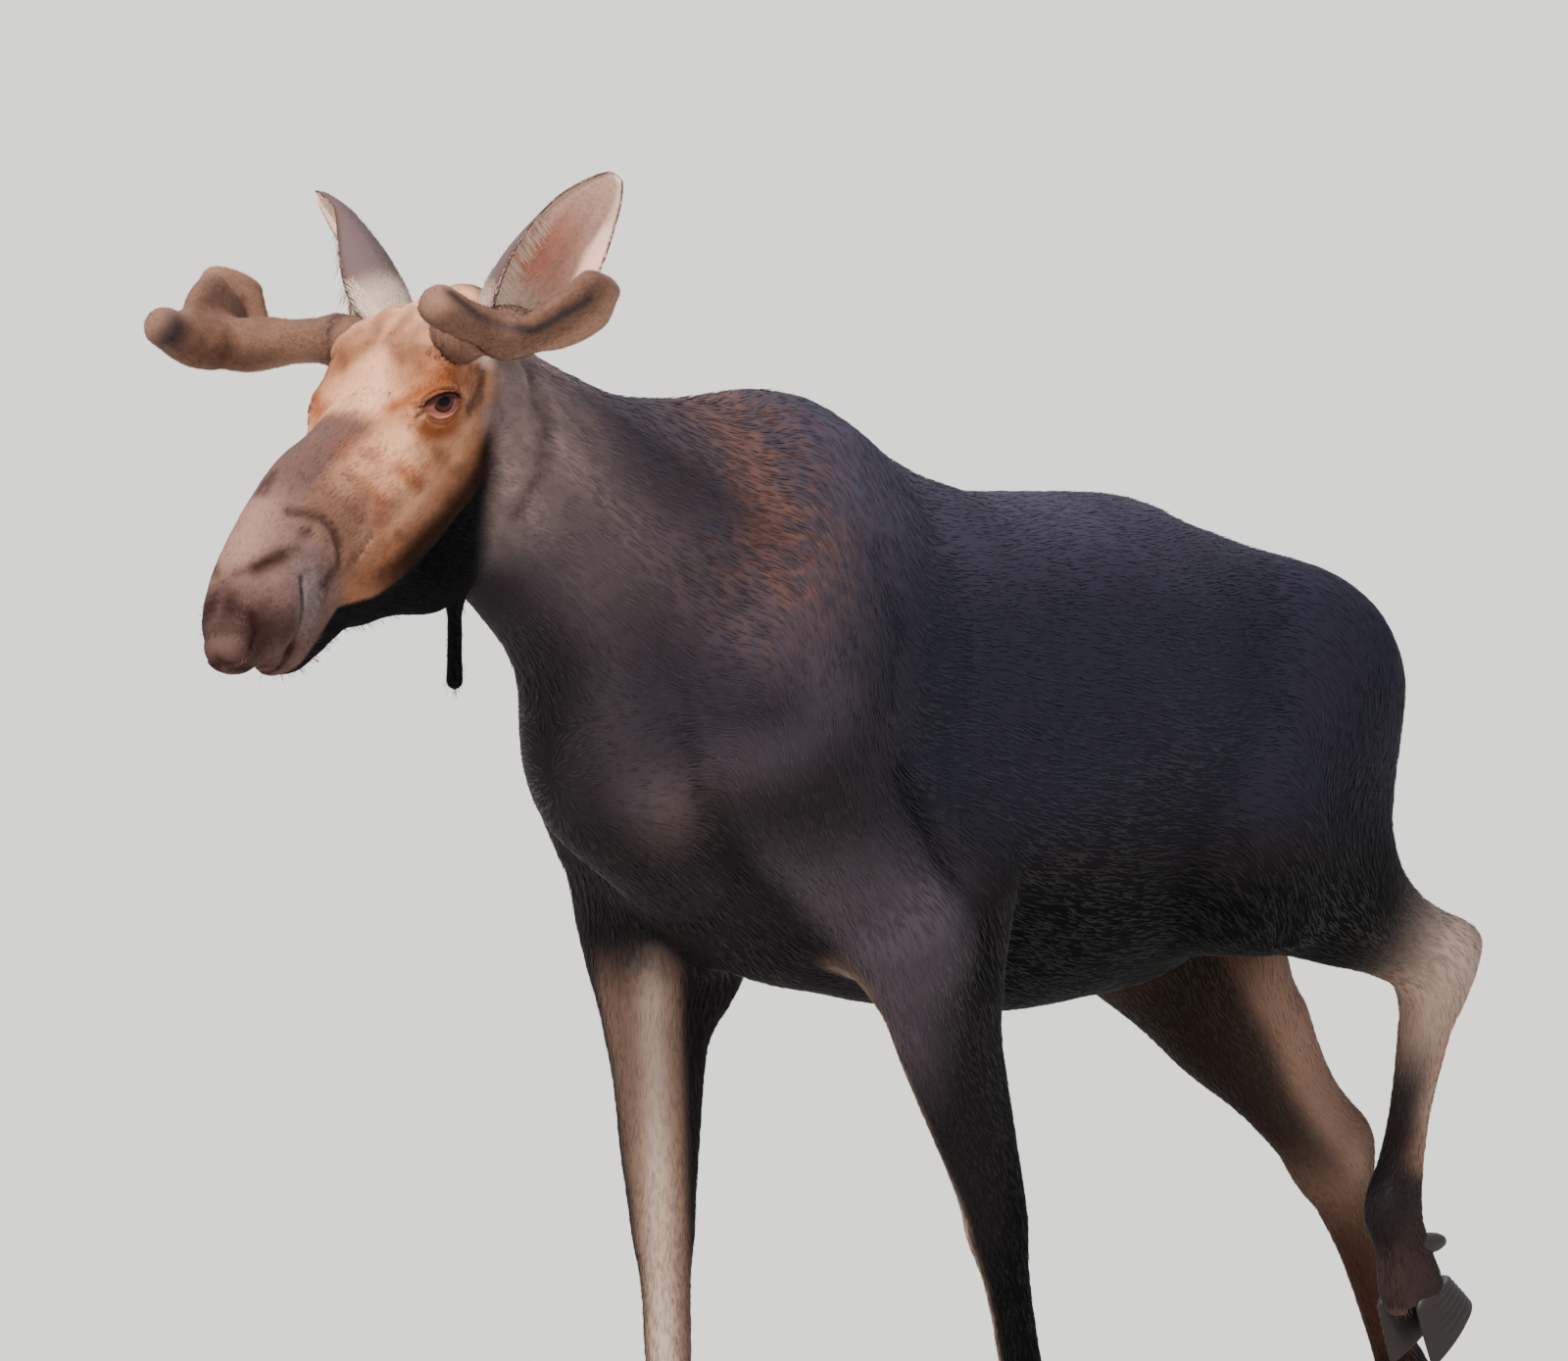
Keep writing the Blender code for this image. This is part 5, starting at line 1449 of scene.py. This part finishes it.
def build_mesh(name, vertices, triangles, uvs, colours, facing):
    """A piece of the coat, with a UV place, a colour and a normal for each vertex."""
    mesh = bpy.data.meshes.new(name)
    mesh.vertices.add(len(vertices))
    mesh.vertices.foreach_set("co", vertices.ravel())
    mesh.loops.add(triangles.size)
    mesh.loops.foreach_set("vertex_index", triangles.ravel())
    mesh.polygons.add(len(triangles))
    mesh.polygons.foreach_set("loop_start", np.arange(0, triangles.size, 3))
    mesh.update(calc_edges=True)
    layer = mesh.uv_layers.new(name="OFBake")
    layer.data.foreach_set("uv", uvs[triangles.ravel()].ravel())
    obj = place_object(name, mesh)
    set_colours(obj, colours)
    dress(obj, COAT)
    mesh.normals_split_custom_set_from_vertices(facing)
    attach(obj, "root")


# Where the corners of a tuft lie on its patch of the UV map.
TUFT_PATCH = 0.003 * np.array([(0, 0), (0.5, 0), (0.25, 0.2), (0, 0.5), (0.5, 0.5), (0.25, 0.6), (0.25, 1)])
BENT = np.array([(0, 1, 2), (0, 4, 1), (0, 3, 4), (1, 5, 2), (1, 4, 5), (2, 3, 0), (2, 5, 3),
                 (3, 6, 4), (4, 6, 5), (5, 6, 3)])
STRAIGHT = np.array([(0, 1, 2), (0, 3, 1), (1, 3, 2), (2, 3, 0)])


def make_tufts(name, roots, normals, lie, length, width, lift, colours, chart, bent=True):
    """Thin closed spikes that lie along the skin, each with a small patch of the chart."""
    side = unit(np.cross(lie, normals))
    length, width, lift = (np.broadcast_to(size, len(roots))[:, None] for size in (length, width, lift))
    normals, colours = (np.broadcast_to(rows, roots.shape) for rows in (normals, colours))
    low = roots - 0.0002 * normals
    beside = 0.5 * width * side
    rows = [low - beside, low + beside, roots + 0.15 * width * normals]
    shades = [0.92, 0.92, 0.96]
    if bent:
        middle = roots + 0.5 * length * lie + 0.75 * lift * normals
        beside = 0.45 * width * side
        rows += [middle - beside, middle + beside, middle + 0.15 * width * normals]
        shades += [1.0, 1.0, 1.02]
    rows.append(roots + length * lie + lift * normals)
    shades.append(1.06)
    size = len(rows)
    vertices = np.stack(rows, axis=1).reshape(-1, 3)
    triangles = (BENT if bent else STRAIGHT)[None] + size * np.arange(len(roots))[:, None, None]
    tint = rng.normal(1, 0.07, len(roots)).clip(0.7, 1.4)
    shade = tint[:, None] * np.array(shades)[None, :]
    painted = (colours[:, None, :] * shade[:, :, None]).reshape(-1, 3)
    patch = TUFT_PATCH if bent else TUFT_PATCH[[0, 1, 2, 6]]
    uvs = (chart[:, None, :] + patch[None]).reshape(-1, 2)
    facing = unit(normals + 0.25 * lie + rng.normal(0, 0.07, normals.shape))
    facing = np.repeat(facing, size, axis=0)
    build_mesh(name, vertices, triangles.reshape(-1, 3), uvs, painted, facing)


def turn_about(points, centre, ahead, above):
    """The share of a turn about a line, and the place along it."""
    ahead = unit(np.asarray(ahead, float))
    offset = points - np.asarray(centre, float)
    above = np.asarray(above, float)
    above = unit(above - ahead * (above @ ahead))
    beside = np.cross(ahead, above)
    return np.arctan2(offset @ beside, offset @ above) / (2 * math.pi) + 0.5, offset @ ahead


def leg_turn(points, joints):
    """The share of a turn about a leg's own line, and the height."""
    return np.arctan2(*beside_leg(points, joints)) / (2 * math.pi) + 0.5, points[:, 2]


def in_chart(turn, along, start, end, corner, size):
    """A place in one box of the UV map."""
    share = np.clip((along - start) / (end - start), 0, 1)
    inside = np.stack([turn, share], axis=1) * (np.array(size) - 0.012) + 0.004
    return inside + np.array(corner)


def region_of(points):
    """A label for each point: which piece of the coat it belongs to, as a place in REGIONS."""
    x, y, z = points.T
    head = head_share(points) > 0.5
    forward = (points - EYES) @ HEAD_TURN[1]
    labels = np.where(y < REAR_STARTS, 0, 1)
    labels[(y < NECK_STARTS) & (z > 1.1)] = 2
    labels[head] = 3
    labels[head & (forward > MUZZLE_STARTS)] = 4
    legs = z < LEGS_END
    labels[legs] = (5 + 2 * (y >= RUMP_STARTS) + (x <= 0))[legs]
    return labels


REGIONS = ("trunk_front", "trunk_rear", "neck", "head", "muzzle",
           "foreleg_left", "foreleg_right", "hindleg_left", "hindleg_right")
NECK_STARTS = -0.22
REAR_STARTS = 0.36
RUMP_STARTS = 0.62       # from here the tufts of the rear trunk are a piece of their own
MUZZLE_STARTS = 0.17     # forward from between the eyes
LEGS_END = 0.88


def unwrap(region, points):
    """The place of each point on an unwrap of the skin: every part is rolled out about its own line."""
    if region.startswith("trunk"):
        turn, along = turn_about(points, (0, 0, 1.2), (0, 1, 0), (0, 0, 1))
        return in_chart(turn, along, -0.35, 1.25, (0, 0), (0.5, 0.5))
    if region == "neck":
        turn, along = turn_about(points, (0, 0, 1.36), (0, -0.65, 0.41), (0, 0.41, 0.65))
        return in_chart(turn, along, -0.2, 0.9, (0.5, 0), (0.5, 0.25))
    if region in ("head", "muzzle"):
        turn, along = turn_about(points, at_head(0, 0, -0.06), HEAD_FORWARD, HEAD_UP)
        return in_chart(turn, along, -0.3, 0.5, (0.5, 0.25), (0.5, 0.25))
    table = FORELEG_JOINTS if region.startswith("fore") else HINDLEG_JOINTS
    turn, along = leg_turn(points, table[region.split("_")[1]])
    column = REGIONS.index(region) - 5
    return in_chart(turn, along, 0.0, 0.95, (0.25 * column, 0.5), (0.25, 0.5))


def tuft_density(points):
    """How many tufts grow on a square metre."""
    edge, _, _ = in_slit(points)
    density = by_part(points, TUFTS_PER_M2) * fade(edge, 0.002, 0.006)
    density = density * (1 - near_line(in_head(points), NOSTRIL, 0.01))
    return density * 1.0


def clothe(skin):
    """Cover the skin with tufts, region by region."""
    roots, normals = scatter(skin, tuft_density)
    lie = coat_lie(FLESH, roots, normals)
    colours = coat_colour(roots)
    length = by_part(roots, TUFT_LENGTH) * rng.uniform(0.75, 1.2, len(roots))
    width = by_part(roots, TUFT_WIDTH) * rng.uniform(0.8, 1.2, len(roots))
    lift = by_part(roots, COAT_DEPTH) * rng.uniform(0.06, 0.36, len(roots))
    wander = rng.normal(0, 0.1, len(roots))[:, None]
    lie = unit(lie + wander * np.cross(normals, lie))
    tips = roots + length[:, None] * lie
    sink = distance_to(MELTED, tips) - skin_level(tips)
    lift = lift - np.clip(sink, -0.006, 0.012)
    labels = region_of(roots)
    for index, region in enumerate(REGIONS):
        whole = labels == index
        rump = (region == "trunk_rear") & (roots[:, 1] > RUMP_STARTS)
        for name, here in ((region, whole & ~rump), ("rump", whole & rump)):
            if here.any():
                parts = (part[here] for part in (roots, normals, lie, length, width, lift, colours))
                chart = unwrap(region, roots[here])
                make_tufts(f"coat_{name}", *parts, chart, bent=region not in ("head", "muzzle"))


clothe(skin)


def clothe_antler(horn, forms, side):
    """Short velvet that stands out from an antler."""
    roots, normals = scatter(horn, lambda p: VELVET_PER_M2 * (1 - 0.8 * worn_velvet(p)))
    lie = coat_lie(forms, roots, normals)
    lie = unit(lie + rng.normal(0, 0.35, roots.shape))
    count = len(roots)
    turn, along = turn_about(roots, at_head(0, -0.09, 0.03), HEAD_ACROSS, HEAD_UP)
    chart = in_chart(turn, np.abs(along), 0.05, 0.45, (0, 0), (1, 1))
    tall = rng.random(count) < 0.25
    lift = np.where(tall, rng.uniform(0.0016, 0.0028, count), rng.uniform(0.0003, 0.001, count))
    make_tufts(f"coat_antler_{side}", roots, normals, lie, rng.uniform(0.0025, 0.0045, count),
               0.0006, lift, velvet_colour(roots) * 1.15, chart, bent=False)


def clothe_ear(leaf, side, sign):
    """Fine hair on an ear, and long pale hair rooted along its inner front edge."""
    base, axis, opening, across = (np.array(part) for part in ear_frame(side, sign))
    roots, normals = scatter(leaf, lambda p: np.full(len(p), EAR_HAIR_PER_M2))
    share = (roots - base) @ axis / EAR_LENGTH
    kept = ((np.abs(normals @ across) < 0.78) | (share < 0.3)) & (share < 0.97)
    roots, normals, share = roots[kept], normals[kept], share[kept]
    upper = -sign * ((roots - base) @ across) / EARS[side]["half_width"]
    inside = (normals @ opening) > 0.15
    heart = np.exp(-(upper / 0.55) ** 2 - ((share - 0.4) / 0.32) ** 2)
    colours = layered(np.tile(EAR_BACK, (len(roots), 1)), [
        (EAR_INSIDE_PALE_AND_LIT, inside * 1.0),
        (EAR_HEART, 0.8 * inside * heart),
        (EAR_BAND, inside * fade(upper, 0.4, 0.75)),
        (CREAM, fade(share, 0.34, 0.16) * (0.5 + 0.5 * inside)),
        (CREAM, ~inside * fade(-upper, 0.7, 0.95) * 0.7),
    ])
    lie = axis - (normals @ axis)[:, None] * normals + rng.normal(0, 0.16, roots.shape)
    count = len(roots)
    chart = np.stack([0.02 + 0.9 * share.clip(0, 1), 0.25 + 0.2 * upper + 0.5 * inside], axis=1)
    length = rng.uniform(0.005, 0.009, count) * (1.2 - 0.8 * share)
    make_tufts(f"coat_ear_{side}", roots, normals, unit(lie), length, 0.0009,
               rng.uniform(0.0012, 0.0028, count), colours, chart, bent=False)
    long = inside & (upper > 0.5) & (share > 0.05) & (share < 0.64) & (rng.random(count) < 0.35)
    sweep = sign * across * (1.0 - 0.5 * share[long])[:, None] - axis * 0.25 + opening * 0.35
    sweep = sweep + rng.normal(0, 0.12, sweep.shape)
    count = int(long.sum())
    length = rng.uniform(0.024, 0.044, count) * (1.15 - share[long])
    make_tufts(f"coat_ear_fringe_{side}", roots[long], opening, unit(sweep), length, 0.0012,
               rng.uniform(0.001, 0.004, count), CREAM, chart[long])


def lashes(side, sign):
    """A row of dark lashes on an upper lid."""
    count = LASHES
    toward = rng.uniform(-0.024, 0.016, count)
    arch = SLIT["upper"] * (1 - (toward / SLIT["outer"]) ** 2) ** 0.7 + rng.uniform(0.0, 0.002, count)
    forward = SLIT_PLACE[0] + toward * TILT_COS - arch * TILT_SIN
    up = SLIT_PLACE[1] + toward * TILT_SIN + arch * TILT_COS
    beside = (forward - EYE_PLACE[1]) ** 2 + (up - EYE_PLACE[2]) ** 2
    out = np.sqrt((EYE_RADIUS + 0.002) ** 2 - np.minimum(beside, 0.0235 ** 2))
    local = np.stack([sign * (EYE_PLACE[0] + out), forward, up], axis=1)
    roots = EYES + local @ HEAD_TURN
    lie = np.stack([np.full(count, sign * 1.0), 0.1 + 10 * toward, np.full(count, 0.1)], axis=1)
    lie = unit(lie + rng.normal(0, 0.12, lie.shape)) @ HEAD_TURN
    above = -TILT_SIN * HEAD_TURN[1] + TILT_COS * HEAD_TURN[2]
    chart = np.stack([0.5 + 10 * toward, np.full(count, 0.5)], axis=1)
    length = rng.uniform(0.011, 0.018, count)
    make_tufts(f"coat_lashes_{side}", roots, above, lie, length, LONG_HAIR,
               rng.uniform(-0.001, 0.003, count), CHIN, chart)


def whiskers(skin):
    """Sparse longer hairs on the lips, chin, throat and bell."""
    def where(points):
        local = in_head(points)
        lip = near_line(local, LOWER_LIP, 0.022) + 0.5 * near_line(local, NOSTRIL, 0.02)
        chin = near_line(local, mm((10, 385, -100), (20, 300, -125), (15, 200, -170)), 0.035)
        hanging = near_line(points, mm((0, -612, 1500), (0, -612, 1330)), 0.03)
        return 3000 * lip + 12000 * chin + 16000 * hanging

    roots, normals = scatter(skin, where)
    count = len(roots)
    lie = coat_lie(FLESH, roots, normals) + 0.8 * normals
    lie = unit(lie + rng.normal(0, 0.2, roots.shape) + (0, 0, -0.5))
    length = rng.uniform(0.008, 0.018, count)
    make_tufts("coat_whiskers", roots, normals, lie, length, LONG_HAIR, 0,
               coat_colour(roots) * 0.8, unwrap("head", roots))


for (side, sign), leaf, (horn, horn_forms) in zip(SIDES, ear_leaves, antlers):
    clothe_antler(horn, horn_forms, side)
    clothe_ear(leaf, side, sign)
    lashes(side, sign)
whiskers(skin)

# ---- to where the solids stand
box_low, box_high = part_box("eye_left")
shift = (box_low + box_high) / 2 - at_head(EYE_SPREAD, 0, 0)
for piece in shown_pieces():
    if "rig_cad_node" not in piece:
        piece.data.transform(Matrix.Translation(shift))

# ---- studio
CAMERA_AZIMUTH = math.radians(42)
CAMERA_ELEVATION = math.radians(3)
CAMERA_DISTANCE = 20.0
SENSOR_WIDTH = 36
FLOOR_REACH = 900.0
SKY_COLOUR = (0.86, 0.92, 1.0)
SKY_STRENGTH = 0.74
TARGET_HEIGHT = 1.302
TARGET_OFFSET = 0.034
FRAME_WIDTH = 2.162      # metres across the picture at the target's distance

corners = [(x * FLOOR_REACH, y * FLOOR_REACH, 0) for x, y in ((-1, -1), (1, -1), (1, 1), (-1, 1))]
floor = make_object("floor", corners, [(0, 1, 2, 3)])
floor.data.materials.append(principled("floor", colour=(0.62, 0.61, 0.58), roughness=0.9))

world = bpy.data.worlds.new("studio")
world.use_nodes = True
background = world.node_tree.nodes["Background"].inputs
background["Color"].default_value = (*SKY_COLOUR, 1)
background["Strength"].default_value = SKY_STRENGTH
bpy.context.scene.world = world
bpy.context.scene.view_settings.look = "AgX - Medium High Contrast"


def sun(name, direction, strength, softness, colour):
    """A far soft light shining from a direction; softness is its width in degrees."""
    light = bpy.data.lights.new(name, "SUN")
    light.energy = strength
    light.angle = math.radians(softness)
    light.color = colour
    place_object(name, light).rotation_euler = Vector(direction).to_track_quat("Z", "Y").to_euler()


sun("key", (0.2, -0.9, 0.95), strength=4.2, softness=6, colour=(1.0, 0.94, 0.86))
sun("rim", (-0.6, 0.5, 0.9), strength=0.6, softness=30, colour=(0.85, 0.92, 1.0))

east = math.sin(CAMERA_AZIMUTH)
south = math.cos(CAMERA_AZIMUTH)
level = math.cos(CAMERA_ELEVATION)
back = Vector((east * level, -south * level, math.sin(CAMERA_ELEVATION)))
target = Vector((TARGET_OFFSET * south, TARGET_OFFSET * east, TARGET_HEIGHT)) + shift
camera_data = bpy.data.cameras.new("camera")
camera_data.sensor_width = SENSOR_WIDTH
camera_data.lens = SENSOR_WIDTH * CAMERA_DISTANCE / FRAME_WIDTH
camera = place_object("camera", camera_data)
camera.location = target + back * CAMERA_DISTANCE
camera.rotation_euler = (-back).to_track_quat("-Z", "Y").to_euler()
bpy.context.scene.camera = camera
